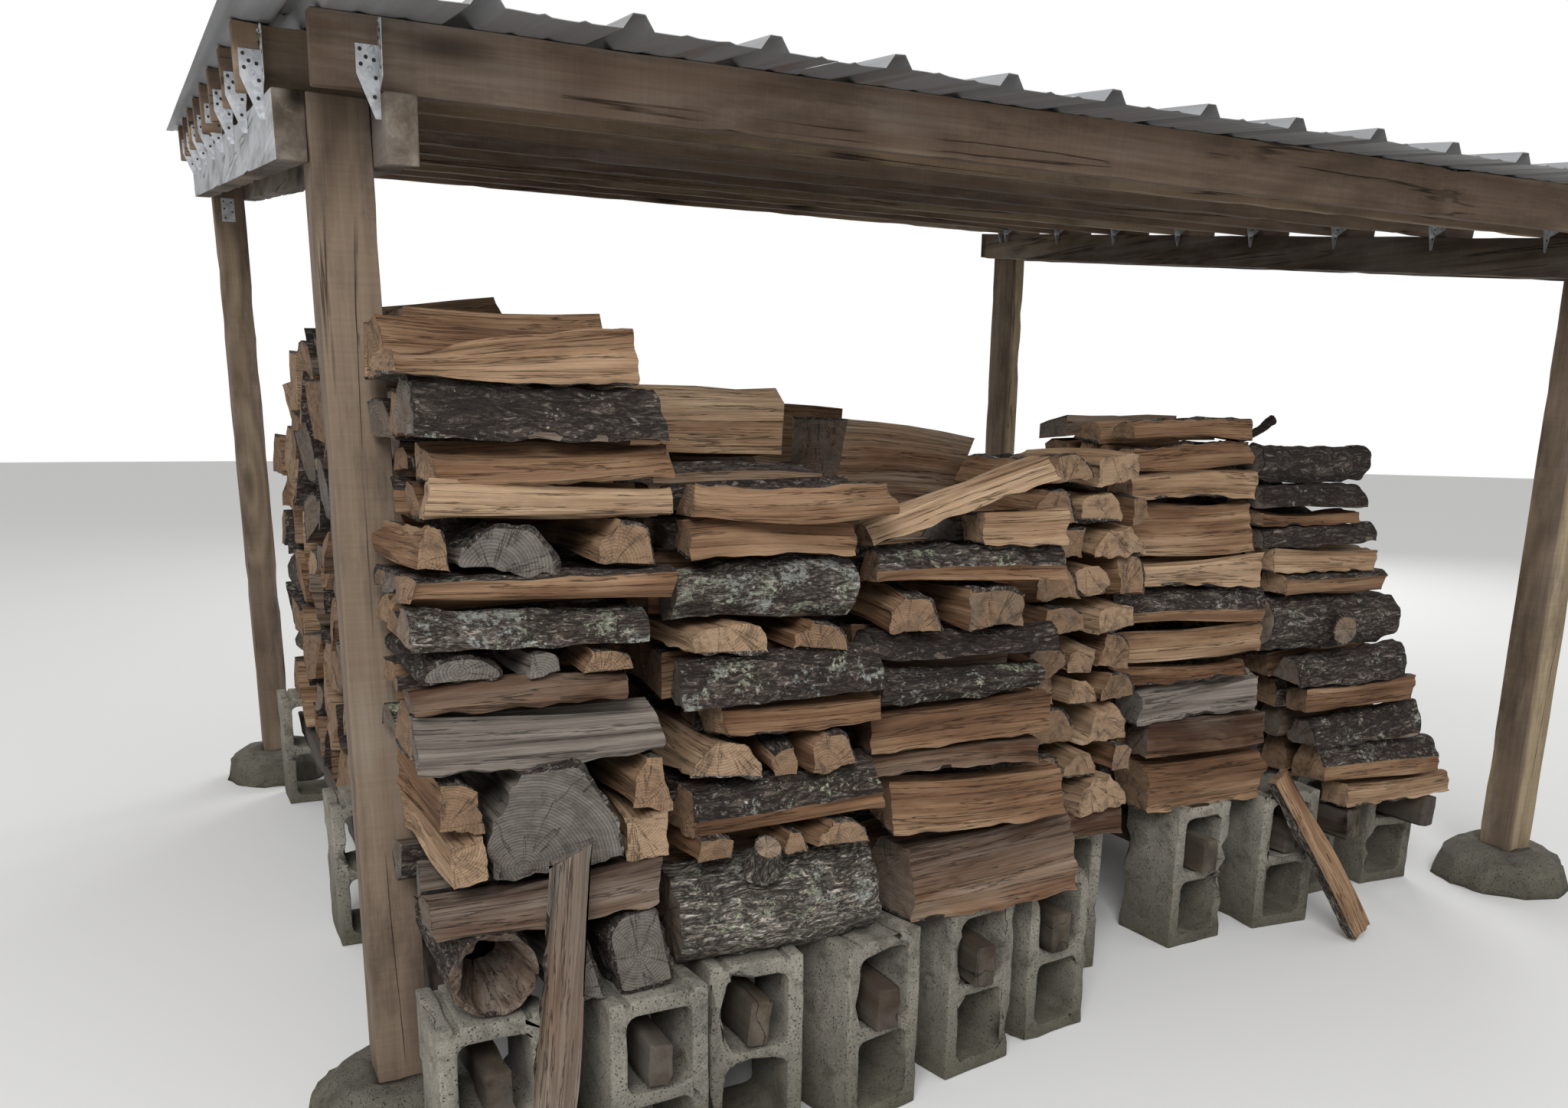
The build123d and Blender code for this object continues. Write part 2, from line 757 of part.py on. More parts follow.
def make_crossing_split():
    """Lies across the third stack from the course below the top to the top log's left edge."""
    width, thickness, length = crossing_split
    front, courses = front_stacks[2]
    top_thickness, (lay, name, top_start, top_length) = courses[-1]
    low_z = block_height + lie + sum(t + lie for t, listed in courses[:-1])
    low = in_store(crossing_split_start, front, low_z)
    high = in_store(top_start, front, low_z + top_thickness + lie)
    plane = Plane(low, x_dir=(0, 1, 0), z_dir=high - low)
    return make_log(split_section("slab", width, thickness), plane, length)


def make_top_log():
    """A round log with a branch, on the highest of what the last two rows offer."""
    width, thickness, length = top_log_size
    section = moved(split_section("round", width, thickness), top_log_back, 0)
    lift = max(resting_lift(section, laid) for laid in rows_laid[-2:])
    foot = in_store(top_log_right + length * 0.9, top_log_back + width / 2, lift + thickness * 0.6)
    stub = foot, top_branch_way, top_branch_radius, top_branch_reach
    return log_along(moved(section, front_y, lift), left_x + top_log_right, length, stub)


loose_logs = [make_standing_split(), make_leaning_split(), make_crossing_split(), make_top_log()]
write(Compound(children=loose_logs), "loose_logs")
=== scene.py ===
"""Open-fronted log store: rough-sawn frame, ribbed steel roof, concrete blocks and split firewood."""
import math
import random

import bmesh
import bpy
from bpy.props import FloatProperty, FloatVectorProperty
from mathutils import Matrix, Vector, noise


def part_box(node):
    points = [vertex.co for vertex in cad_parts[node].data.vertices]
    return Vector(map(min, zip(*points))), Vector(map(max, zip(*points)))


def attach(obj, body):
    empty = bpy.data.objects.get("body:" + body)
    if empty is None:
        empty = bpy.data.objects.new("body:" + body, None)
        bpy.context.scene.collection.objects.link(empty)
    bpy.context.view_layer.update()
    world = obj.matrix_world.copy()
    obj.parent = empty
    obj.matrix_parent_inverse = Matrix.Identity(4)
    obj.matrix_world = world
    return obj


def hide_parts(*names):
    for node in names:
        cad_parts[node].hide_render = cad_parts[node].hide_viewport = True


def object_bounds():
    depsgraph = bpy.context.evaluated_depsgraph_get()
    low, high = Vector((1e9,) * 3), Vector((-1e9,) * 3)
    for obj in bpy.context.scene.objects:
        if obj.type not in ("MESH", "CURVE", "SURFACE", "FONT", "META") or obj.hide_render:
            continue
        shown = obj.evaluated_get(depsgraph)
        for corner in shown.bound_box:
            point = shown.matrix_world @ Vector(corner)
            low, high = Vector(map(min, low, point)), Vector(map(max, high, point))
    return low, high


bl_info = {
    "name": "Log Store",
    "version": (1, 0, 0),
    "blender": (4, 5, 0),
    "location": "3D View > Sidebar > Log Store",
    "description": "Dresses a log store in rough-sawn timber, ribbed steel, concrete and firewood",
    "category": "Object",
}

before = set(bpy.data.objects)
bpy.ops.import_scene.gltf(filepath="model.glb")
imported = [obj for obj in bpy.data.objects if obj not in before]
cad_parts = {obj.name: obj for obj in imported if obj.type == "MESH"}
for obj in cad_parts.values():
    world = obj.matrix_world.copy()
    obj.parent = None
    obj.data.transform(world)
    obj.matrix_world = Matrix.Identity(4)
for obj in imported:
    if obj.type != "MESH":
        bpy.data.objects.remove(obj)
cad_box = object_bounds()


CORNERS = ("front_left", "front_right", "rear_left", "rear_right")
JOISTS = tuple(f"joist_{number}" for number in range(1, 10))


def grain(along, length, across):
    """A number for each axis: one along a timber's grain and another across it."""
    return tuple(length if axis == along else across for axis in range(3))


# Materials

SEED_SPREAD = 97.0

# The pale strips of a timber, as shares of its own colour
SAPWOOD = (1.45, 1.5, 1.25)


class Nodes:
    """An empty node tree, and the nodes that the materials and the sky are made of."""

    def __init__(self, tree):
        tree.nodes.clear()
        self.tree = tree

    def add(self, kind, inputs=None, **settings):
        """One node, with its settings and its inputs, each a value or another node's output."""
        made = self.tree.nodes.new(kind)
        for name, value in settings.items():
            setattr(made, name, value)
        for name, value in (inputs or {}).items():
            if isinstance(value, bpy.types.NodeSocket):
                self.tree.links.new(value, made.inputs[name])
            else:
                made.inputs[name].default_value = value
        return made

    def work_out(self, operation, *values):
        return self.add("ShaderNodeMath", dict(enumerate(values)), operation=operation).outputs[0]

    def total(self, start, *parts):
        """A start, and each part's value times its weight added to it."""
        for value, weight in parts:
            start = self.work_out("MULTIPLY_ADD", value, weight, start)
        return start

    def ramp(self, value, low, high, start=0.0, end=1.0):
        """A value stretched from one range to another and held at its ends."""
        return self.add("ShaderNodeMapRange", {0: value, 1: low, 2: high, 3: start, 4: end}).outputs[0]

    def blend(self, share, first, second, kind="MIX"):
        """A mix of two colours, each a colour or an output."""
        colours = [c if isinstance(c, bpy.types.NodeSocket) else (*c[:3], 1) for c in (first, second)]
        return self.add("ShaderNodeMix", {0: share, 6: colours[0], 7: colours[1]}, data_type="RGBA",
                        blend_type=kind).outputs[2]

    def tint(self, share, colour, value, low, high):
        """A colour multiplied by a tint that goes from low to high with a value."""
        return self.blend(share, colour, self.blend(value, low, high), "MULTIPLY")

    def shaded(self, colour, value):
        """A colour multiplied by a grey value."""
        grey = self.add("ShaderNodeCombineColor", {0: value, 1: value, 2: value}).outputs[0]
        return self.blend(1.0, colour, grey, "MULTIPLY")

    def bands(self, value, *stops):
        """A colour ramp with stops of place and colour."""
        made = self.add("ShaderNodeValToRGB", {0: value})
        line = made.color_ramp
        while len(line.elements) < len(stops):
            line.elements.new(0.5)
        for element, (place, colour) in zip(line.elements, stops):
            element.position = place
            element.color = (*colour, 1)
        return made.outputs[0]

    def lines(self, value, width, dark):
        """Thin wandering lines where a noise crosses its middle: dark there, 1 elsewhere."""
        apart = self.work_out("ABSOLUTE", self.work_out("SUBTRACT", value, 0.5))
        return self.ramp(apart, 0.0, width, dark, 1.0)


class Finish(Nodes):
    """A finish in the making, on the object's own coordinates or, for firewood, on each log's."""

    def __init__(self, name, of_logs=False):
        self.material = bpy.data.materials.new(name)
        self.material.use_nodes = True
        super().__init__(self.material.node_tree)
        if of_logs:
            self.place = self.add("ShaderNodeAttribute", attribute_name="log_place").outputs["Vector"]
            look = self.add("ShaderNodeAttribute", attribute_name="log_look").outputs
            self.tone, self.weather, self.lichen = self.add(
                "ShaderNodeSeparateColor", {0: look["Color"]}).outputs[:3]
            self.seed = self.work_out("MULTIPLY", look["Alpha"], SEED_SPREAD)
        else:
            self.place = self.add("ShaderNodeTexCoord").outputs["Object"]
            self.seed = None

    def parts_of_place(self):
        return self.add("ShaderNodeSeparateXYZ", {0: self.place}).outputs[:3]

    def point(self, x, y, z):
        return self.add("ShaderNodeCombineXYZ", {0: x, 1: y, 2: z}).outputs[0]

    def fitted(self, scale, place):
        """A place and a scale for a pattern; three numbers stretch it along each axis."""
        if isinstance(scale, tuple):
            return self.add("ShaderNodeMapping", {0: place, 3: scale}).outputs[0], 1.0
        return place, scale

    def speckle(self, scale, detail, rough, twist=0.0, place=None):
        """Noise, in another part of the pattern for each log unless it has a place of its own."""
        moved = self.seed is not None and place is None
        vector, scale = self.fitted(scale, self.place if place is None else place)
        inputs = {"Vector": vector, "Scale": scale, "Detail": detail, "Roughness": rough,
                  "Distortion": twist}
        if moved:
            inputs["W"] = self.seed
        return self.add("ShaderNodeTexNoise", inputs, noise_dimensions="4D" if moved else "3D").outputs[0]

    def cells(self, scale, output="Distance"):
        """Cells round scattered points."""
        vector, scale = self.fitted(scale, self.place)
        made = self.add("ShaderNodeTexVoronoi", {"Vector": vector, "Scale": scale, "Randomness": 1.0})
        return made.outputs[output]

    def radius(self):
        """How far a point is from its log's pith."""
        x, y, z = self.parts_of_place()
        return self.work_out("SQRT", self.total(self.work_out("MULTIPLY", z, z), (y, y)))

    def angle(self):
        """On which side of its log's pith a point is."""
        x, y, z = self.parts_of_place()
        return self.work_out("ARCTAN2", z, y)

    def done(self, colour, roughness, height, depth, metallic=0.0, specular=0.2):
        """The material with its shader, and relief from a height and its depth in metres."""
        bump = self.add("ShaderNodeBump", {"Strength": 1.0, "Distance": depth, "Height": height})
        shader = self.add("ShaderNodeBsdfPrincipled", {
            "Base Color": colour, "Roughness": roughness, "Metallic": metallic,
            "Specular IOR Level": specular, "Normal": bump.outputs[0],
        })
        self.add("ShaderNodeOutputMaterial", {0: shader.outputs[0]})
        return self.material


def toned(colour, factor):
    return [part * factor for part in colour]


def make_split_face(colours):
    """Split faces: torn fibres from dark heartwood out to pale sapwood, greyed by weather."""
    face = Finish("split face", of_logs=True)
    broad = face.speckle((3.5, 16, 16), 4, 0.55, 0.6)
    streaks = face.speckle((1.4, 66, 66), 8, 0.66, 0.3)
    fibres = face.speckle((7, 330, 330), 4, 0.65, 0.2)
    # The tear lines darken the wood: painted shade in the fibre tears
    tears = face.lines(face.speckle((1.7, 50, 50), 5, 0.6, 0.4), 0.011, 0.4)
    shade = face.total(-0.62, (face.tone, 0.85), (broad, 0.95), (face.radius(), 2.2))
    wood = face.bands(shade, (0.08, colours.heart_dark), (0.38, colours.heart), (0.62, colours.tan),
                      (0.95, colours.sap))
    wood = face.tint(0.75, wood, face.ramp(streaks, 0.34, 0.6), (0.54, 0.44, 0.37),
                     (1.14, 1.11, 1.06))
    wood = face.tint(0.8, wood, face.ramp(fibres, 0.3, 0.7), (0.66, 0.6, 0.55), (1.16, 1.15, 1.13))
    greyed = face.blend(face.ramp(streaks, 0.34, 0.64), (0.06, 0.047, 0.038), (0.27, 0.235, 0.2))
    mask = face.ramp(face.total(-0.85, (broad, 1.0), (face.weather, 1.35)), 0.0, 0.5)
    wood = face.shaded(face.blend(mask, wood, greyed), tears)
    height = face.total(0.0, (fibres, 0.3), (streaks, 1.0), (tears, 0.35))
    return face.done(wood, face.ramp(streaks, 0.3, 0.7, 0.92, 0.76), height, 0.009)


def make_log_end(colours):
    """Sawn ends: fine rings round the pith, a few checks, saw marks across and grime."""
    end = Finish("log end", of_logs=True)
    radius = end.radius()
    wobble = end.speckle(14.0, 4, 0.55)
    rings = end.total(0.5, (end.work_out("SINE", end.total(0.0, (radius, 1150.0), (wobble, 13.0))), 0.5))
    bunch = end.speckle(75.0, 3, 0.6, place=end.point(radius, end.seed, 0.0))
    fine = end.speckle(240.0, 4, 0.7)
    saw = end.speckle((20, 22, 210), 3, 0.6)
    blotch = end.speckle(30.0, 7, 0.68, 0.5)
    broad = end.speckle(12.0, 2, 0.5, 0.4)
    rays = end.point(end.total(0.0, (end.angle(), 2.4)), end.total(0.0, (radius, 4.0)), end.seed)
    # The check lines darken the end: painted shade in the checks
    check = end.lines(end.speckle(0.55, 5, 0.6, 0.3, place=rays), 0.008, 0.35)
    shade = end.total(-0.18, (end.tone, 0.75), (bunch, 0.45))
    wood = end.bands(shade, (0.08, colours.end_dark), (0.42, colours.end_mid), (0.9, colours.end_light))
    wood = end.tint(end.ramp(broad, 0.35, 0.65, 0.15, 0.75), wood, rings, (0.7, 0.63, 0.57),
                    (1.1, 1.09, 1.07))
    wood = end.tint(0.6, wood, saw, (0.55, 0.5, 0.46), (1.3, 1.29, 1.27))
    wood = end.tint(0.6, wood, fine, (0.5, 0.46, 0.43), (1.36, 1.35, 1.33))
    wood = end.blend(end.ramp(blotch, 0.48, 0.66, 0.0, 0.8), wood, colours.end_dark)
    greyed = end.blend(end.work_out("MULTIPLY", end.total(0.4, (rings, 0.5)), bunch),
                       (0.075, 0.064, 0.054), (0.31, 0.28, 0.25))
    greyed = end.blend(end.ramp(blotch, 0.45, 0.65, 0.0, 0.6), greyed, (0.06, 0.05, 0.042))
    greyed = end.tint(0.7, greyed, saw, (0.5, 0.5, 0.5), (1.4, 1.4, 1.4))
    mask = end.ramp(end.total(-0.7, (wobble, 1.0), (end.weather, 1.2)), 0.0, 0.5)
    wood = end.shaded(end.blend(mask, wood, greyed), check)
    height = end.total(fine, (saw, 0.5), (rings, 0.2), (check, 0.6))
    return end.done(wood, end.ramp(fine, 0.3, 0.7, 0.94, 0.84), height, 0.0035)


def make_bark(colours):
    """Bark: broken ridges between long furrows, painted near-black as shade, and blotches and specks of
    pale lichen.
    """
    bark = Finish("bark", of_logs=True)
    coarse = bark.speckle((15, 52, 52), 6, 0.62, 1.1)
    small = bark.speckle((42, 120, 120), 5, 0.6, 0.8)
    grain = bark.speckle((90, 260, 260), 4, 0.65)
    broad = bark.speckle((6, 10, 10), 4, 0.55)
    shaded_furrow = bark.work_out("MULTIPLY", bark.lines(coarse, 0.075, 0.0), bark.lines(small, 0.06, 0.35))
    ridge = bark.bands(bark.total(-0.2, (bark.tone, 0.6), (broad, 0.8)), (0.15, colours.bark_dark),
                       (0.5, colours.bark), (0.9, colours.bark_pale))
    ridge = bark.tint(0.8, ridge, bark.ramp(small, 0.3, 0.7), (0.42, 0.37, 0.35), (1.6, 1.58, 1.56))
    ridge = bark.tint(0.6, ridge, grain, (0.4, 0.38, 0.36), (1.5, 1.5, 1.48))
    # The furrows' near-black colour is painted shade in the bark's recesses
    wood = bark.blend(shaded_furrow, colours.shaded_furrow, ridge)
    blotch = bark.speckle((17, 22, 22), 12, 0.78, 0.3)
    specks = bark.speckle(120.0, 4, 0.65)
    kind = bark.ramp(bark.speckle(9.0, 3, 0.6), 0.42, 0.58)
    reach = bark.total(0.0, (blotch, 0.78), (specks, 0.34), (bark.lichen, 0.115))
    growth = bark.blend(kind, colours.lichen, colours.lichen_grey)
    growth = bark.tint(0.9, growth, bark.ramp(specks, 0.35, 0.65), (0.5, 0.5, 0.5), (1.3, 1.3, 1.3))
    wood = bark.blend(bark.ramp(reach, 0.665, 0.7, 0.0, 0.85), wood, growth)
    height = bark.total(grain, (small, 0.6), (shaded_furrow, 0.8))
    return bark.done(wood, bark.ramp(grain, 0.3, 0.7, 0.96, 0.88), height, 0.008, specular=0.12)


def make_sawn_timber(name, along, dark, light, grey, marks, worn):
    """Rough-sawn timber with its grain along X, Y or Z, knots, saw marks across and greyed faces."""
    timber = Finish(name)
    knots = timber.cells(grain(along, 1.5, 5.5))
    wander = timber.speckle(grain(along, 0.275, 8.0), 2, 0.5)
    turns = timber.total(0.0, (timber.ramp(knots, 0.0, 0.5, 0.55, 0.0), 22.0), (wander, 26.0))
    growth = timber.total(0.5, (timber.work_out("SINE", turns), 0.5))
    streaks = timber.speckle(grain(along, 0.55, 16.0), 6, 0.6, 0.5)
    fibres = timber.speckle(grain(along, 2.2, 170.0), 4, 0.62)
    broad = timber.speckle(1.7, 3, 0.5)
    shade = timber.total(timber.ramp(streaks, 0.3, 0.7, 0.0, 0.75), (growth, 0.4))
    wood = timber.blend(shade, light, dark)
    strip = timber.speckle(grain(along, 0.1, 8.0), 1, 0.5)
    sapwood = [part * share for part, share in zip(light, SAPWOOD)]
    wood = timber.blend(timber.ramp(strip, 0.55, 0.65, 0.0, 0.5), wood, sapwood)
    wood = timber.tint(0.6, wood, fibres, (0.6, 0.56, 0.52), (1.35, 1.34, 1.3))
    wood = timber.tint(0.7, wood, timber.ramp(streaks, 0.36, 0.64), (0.48, 0.44, 0.4),
                       (1.15, 1.14, 1.1))
    greyed = timber.blend(fibres, toned(grey, 0.7), toned(grey, 1.25))
    mask = timber.total(worn - 1.0, (broad, 0.7), (streaks, 0.8))
    wood = timber.blend(timber.ramp(mask, 0.0, 0.5), wood, greyed)
    wood = timber.blend(timber.ramp(knots, 0.05, 0.16, 1.0, 0.0), wood, toned(dark, 0.28))
    grime = timber.speckle(grain(along, 3.2, 11.0), 7, 0.68)
    wood = timber.blend(timber.ramp(grime, 0.48, 0.7, 0.0, 0.7), wood, toned(dark, 0.4))
    saw = timber.speckle(grain(along, marks, 4.0), 3, 0.6)
    wood = timber.tint(0.2, wood, timber.ramp(saw, 0.35, 0.65), (0.7, 0.69, 0.68),
                       (1.12, 1.12, 1.12))
    # The crack lines darken the wood: painted shade in the cracks
    split = timber.lines(timber.speckle(grain(along, 0.22, 9.0), 7, 0.42), 0.0055, 0.2)
    crack = timber.work_out("MAXIMUM", split, timber.ramp(broad, 0.47, 0.53))
    height = timber.total(0.0, (saw, 0.45), (fibres, 0.4), (crack, 0.9))
    return timber.done(timber.shaded(wood, crack), timber.ramp(fibres, 0.2, 0.8, 0.9, 0.76), height, 0.0022)


def make_concrete(name, colour, pale, stained):
    """Cast concrete: open pores darkened as painted shade, sand grains, water marks and a greener, darker
    foot.
    """
    cast = Finish(name)
    grains = cast.speckle(260.0, 5, 0.75)
    pore = cast.ramp(cast.total(cast.cells(150.0), (cast.speckle(60.0, 3, 0.6), 0.5)), 0.34, 0.5)
    broad = cast.speckle(9.0, 5, 0.6)
    body = cast.blend(cast.ramp(broad, 0.3, 0.7), colour, pale)
    body = cast.tint(0.75, body, cast.ramp(grains, 0.3, 0.7), (0.42, 0.4, 0.37), (1.45, 1.45, 1.42))
    grime = cast.speckle(14.0, 7, 0.7, 0.4)
    body = cast.blend(cast.ramp(grime, 0.5, 0.66, 0.0, 0.7), body, (0.075, 0.068, 0.052))
    # The pores are darkened to about a third of the body colour: painted shade in the recesses
    body = cast.blend(pore, toned(colour, 0.35), body)
    foot = cast.total(cast.ramp(cast.parts_of_place()[2], 0.0, 0.34, 0.62, 0.0), (broad, 0.3))
    body = cast.blend(cast.ramp(foot, 0.3, 0.75, 0.0, stained), body, (0.07, 0.064, 0.042))
    height = cast.total(pore, (grains, 0.8))
    return cast.done(body, cast.ramp(grains, 0.3, 0.7, 0.96, 0.86), height, 0.0045)


def make_galvanized():
    """Galvanized ties: pale spangled zinc, dulled in patches."""
    zinc = Finish("galvanized steel")
    broad = zinc.speckle(30.0, 4, 0.6)
    flake = zinc.add("ShaderNodeSeparateColor", {0: zinc.cells(120.0, "Color")}).outputs[0]
    metal = zinc.blend(flake, (0.47, 0.49, 0.52), (0.66, 0.68, 0.7))
    metal = zinc.blend(zinc.ramp(broad, 0.5, 0.72), metal, (0.36, 0.36, 0.36))
    rough = zinc.total(zinc.ramp(broad, 0.3, 0.7, 0.4, 0.62), (flake, 0.12))
    return zinc.done(metal, rough, broad, 0.0004, metallic=0.75, specular=0.5)


def make_open_holes():
    """The dark inside of the ties' open holes: painted shade on a thin disc where each hole is."""
    holes = Finish("open holes")
    dust = holes.speckle(300.0, 3, 0.6)
    # Near-black, painted shade of the hole, with lighter specks of dust
    dark = holes.blend(dust, (0.02, 0.018, 0.016), (0.06, 0.05, 0.042))
    return holes.done(dark, 0.9, dust, 0.0002, specular=0.35)


def make_roof_steel():
    """Roof sheets: grey steel gone chalky, with dust down the slope and brown stains."""
    sheet = Finish("ribbed steel")
    runs = sheet.speckle((26, 0.9, 0.9), 5, 0.6)
    broad = sheet.speckle(1.3, 4, 0.55)
    grit = sheet.speckle(240.0, 3, 0.6)
    metal = sheet.blend(broad, (0.24, 0.25, 0.265), (0.4, 0.41, 0.42))
    metal = sheet.blend(sheet.ramp(runs, 0.42, 0.7, 0.0, 0.6), metal, (0.2, 0.19, 0.18))
    rust = sheet.ramp(sheet.total(0.0, (broad, 0.6), (runs, 0.55)), 0.66, 0.8, 0.0, 0.75)
    metal = sheet.blend(rust, metal, (0.2, 0.105, 0.055))
    metal = sheet.tint(0.35, metal, grit, (0.75, 0.75, 0.75), (1.2, 1.2, 1.2))
    return sheet.done(metal, sheet.ramp(runs, 0.3, 0.7, 0.42, 0.62), grit, 0.0003, metallic=0.35,
                      specular=0.45)


# Shapes

MERGE_DISTANCE = 0.00001
SHARP_ANGLE = math.radians(25)
CHIP_FROM = 0.28


def cad_copy(node):
    """A CAD node's mesh as whole flat faces."""
    shape = bmesh.new()
    shape.from_mesh(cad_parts[node].data)
    bmesh.ops.remove_doubles(shape, verts=shape.verts, dist=MERGE_DISTANCE)
    bmesh.ops.dissolve_limit(shape, angle_limit=math.radians(1), verts=shape.verts, edges=shape.edges,
                             use_dissolve_boundaries=False)
    shape.normal_update()
    return shape


def loose_parts(shape):
    """The faces of each solid in a mesh, one solid at a time."""
    left = set(shape.faces)
    for first in shape.faces:
        if first not in left:
            continue
        left.discard(first)
        reached = [first]
        part = []
        while reached:
            face = reached.pop()
            part.append(face)
            for edge in face.edges:
                for near in edge.link_faces:
                    if near in left:
                        left.discard(near)
                        reached.append(near)
        yield part


def mesh_of(name, shape):
    mesh = bpy.data.meshes.new(name)
    shape.to_mesh(mesh)
    shape.free()
    return mesh


def in_scene(name, data):
    """A new object in the scene with its mesh, lamp or camera."""
    made = bpy.data.objects.new(name, data)
    bpy.context.scene.collection.objects.link(made)
    return made


def piece(name, shape, materials, node, smooth=30.0):
    """A finished shape as one piece of the store that stands for its CAD node."""
    low, high = cad_box
    for vert in shape.verts:
        vert.co = [min(max(vert.co[i], low[i]), high[i]) for i in range(3)]
    mesh = mesh_of(name, shape)
    for material in materials:
        mesh.materials.append(material)
    mesh.shade_smooth()
    mesh.set_sharp_from_angle(angle=math.radians(smooth))
    made = in_scene(name, mesh)
    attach(made, "root")
    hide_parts(node)


def set_at(origin, x, y, z):
    """The matrix that sets a shape at an origin, with its own axes along three directions."""
    return Matrix.Translation(origin) @ Matrix((x, y, z)).transposed().to_4x4()


def cut_across(shape, *cuts):
    """Cuts a shape into short lengths, for each cut across its axis at every step."""
    for axis, step in cuts:
        places = [v.co[axis] for v in shape.verts]
        low, high = min(places), max(places)
        count = max(1, round((high - low) / step))
        way = Vector(grain(axis, 1.0, 0.0))
        for i in range(1, count):
            bmesh.ops.bisect_plane(shape, geom=shape.verts[:] + shape.edges[:] + shape.faces[:],
                                   dist=0.0001, plane_co=way * (low + (high - low) * i / count),
                                   plane_no=way)


def sharp_edges(shape, convex=True):
    """The outer or inner edges between two faces that meet at a sharp angle."""
    return [e for e in shape.edges if len(e.link_faces) == 2 and e.is_convex == convex
            and e.calc_face_angle(0) > SHARP_ANGLE]


def eased(shape, offset, chip, seed):
    """Eases the outer edges and knocks chips out of them."""
    made = bmesh.ops.bevel(shape, geom=sharp_edges(shape), offset=offset, affect="EDGES", segments=2,
                           profile=0.5, material=-1)
    shape.normal_update()
    apart = Vector((seed * 1.7, seed * 2.9, seed * 0.7))
    for vert in {v for face in made["faces"] for v in face.verts}:
        knock = noise.noise(vert.co * 9 + apart) + 0.5 * noise.noise(vert.co * 31 + apart)
        if knock > CHIP_FROM:
            vert.co += vert.normal * (CHIP_FROM - knock) * chip


def roughen(shape, seed, size, depth, stretch=(1, 1, 1)):
    """Moves every vertex along its normal by seeded noise."""
    shape.normal_update()
    apart = Vector((seed * 3.7, seed * 1.3, seed * 2.1))
    for vert in shape.verts:
        at = Vector([vert.co[i] * stretch[i] / size for i in range(3)])
        vert.co += vert.normal * noise.noise(at + apart) * depth


def sawn_piece(node, material, along, seed, bleached=None):
    """A timber with eased, slightly chipped edges; a bleached one has its left face in that material."""
    shape = cad_copy(node)
    cut_across(shape, (along, 0.06))
    eased(shape, 0.003, 0.014, seed)
    roughen(shape, seed, 0.05, 0.002, grain(along, 0.3, 1.0))
    for face in shape.faces:
        face.material_index = int(bleached is not None and face.normal.x < -0.7)
    piece(f"{node}_timber", shape, [material, bleached] if bleached else [material], node)


# Firewood

# How a log looks: the middle and the reach of its bark as angles in its section, from its back or
# right over its top to its front or left, then its tone, weathering and lichen
LOOKS = {
    "bark": (140, 108, 0.5, 0.4, 0.3),
    "lichen": (135, 125, 0.65, 0.4, 0.95),
    "old bark": (140, 150, 1.05, 0.4, 0.5),
    "dark": (135, 108, 0.12, 0.5, 0.12),
    "specked": (138, 108, 0.25, 0.4, 0.55),
    "orange": (-60, 42, 0.52, 0.05, 0.2),
    "light": (-60, 30, 0.95, 0.02, 0.2),
    "tan": (-50, 40, 0.76, 0.1, 0.2),
    "brown": (-60, 40, 0.34, 0.4, 0.2),
    "grey": (-60, 40, 0.45, 0.9, 0.3),
    "capped": (85, 48, 0.52, 0.08, 0.3),
    "under": (105, 62, 0.5, 0.12, 0.45),
    "end": (70, 62, 0.55, 0.12, 0.3),
    "end grey": (60, 80, 0.4, 0.85, 0.6),
    "end light": (-60, 30, 0.85, 0.05, 0.2),
    "end dark": (60, 180, 0.15, 0.85, 0.3),
    "hollow": (60, 180, 0.3, 0.55, 0.35),
    "standing": (70, 40, 0.55, 0.62, 0.2),
    "round dark": (90, 180, 0.1, 0.55, 0.1),
}
INNER_LOOKS = ("orange", "tan", "brown", "bark", "specked", "under", "capped", "dark", "orange")
INNER_TURNS = (90, 60, 125, -90, 180)

# The front logs' looks in each stack from the bottom up; a course of ends has one for each
STACK_LOOKS = {
    1: (("hollow", "end grey", "end dark"), "brown", ("end light", "end grey", "end light"),
        ("end", "end"), "grey", "brown", ("end dark", "end grey", "end"), "lichen", "capped",
        ("end", "end grey", "end"), "light", "orange", "dark", "tan"),
    2: ("old bark", ("end", "end", "end"), "under", ("end light", "end", "end"), "orange", "specked",
        ("end light", "end"), "lichen", "orange", "capped"),
    3: ("brown", "orange", "brown", "orange", "specked", "dark", ("end", "end"), "under", "tan"),
    4: ("orange", "brown", "grey", "orange", "tan", "under", "light", "orange", "light", "capped",
        "capped"),
    5: ("under", "specked", "capped", "bark", "bark", "capped", "light", "dark", "orange", "dark", "dark"),
    6: ("brown",) + (("end", "end light", "end"),) * 10,
}
LOOSE_LOOKS = ("standing", "tan", "light", "round dark")
ROWS = 5
RACK_TOP = 0.39
COURSE_GAP = 0.004

# A log's materials
SPLIT, BARK, END = range(3)

# A dressed log's steps along its grain and round its section, where it shows and where it doesn't
FINE_STEPS = (0.016, 0.0095)
PLAIN_STEPS = (0.1, 0.042)

# Relief on a log: waves per metre along it and about it. Bark and split faces have each a depth of
# the swell, then the waves and the depth of the grain
SWELL = (3.2, 8.0)
TEARS, TEAR_DEPTH, TEAR_LEVEL = (2.4, 20.0), 0.02, 0.008
BARK_RELIEF = (0.008, 22.0, 44.0, 0.009)
SPLIT_RELIEF = (0.014, 2.6, 46.0, 0.0105)
SET_IN = 0.0025
SAW_WAVES, SAW_DEPTH = 45, 0.005
BOW = 0.008
END_SLANT = 0.2
STANDING_SLANT = 0.55

# Each ring of the rotten heart: its width as a share of the log's radius, and how much deeper it lies
ROT_RINGS = ((0.2, 0.012), (0.12, 0.05), (0.15, 0.06), (0.2, 0.04))

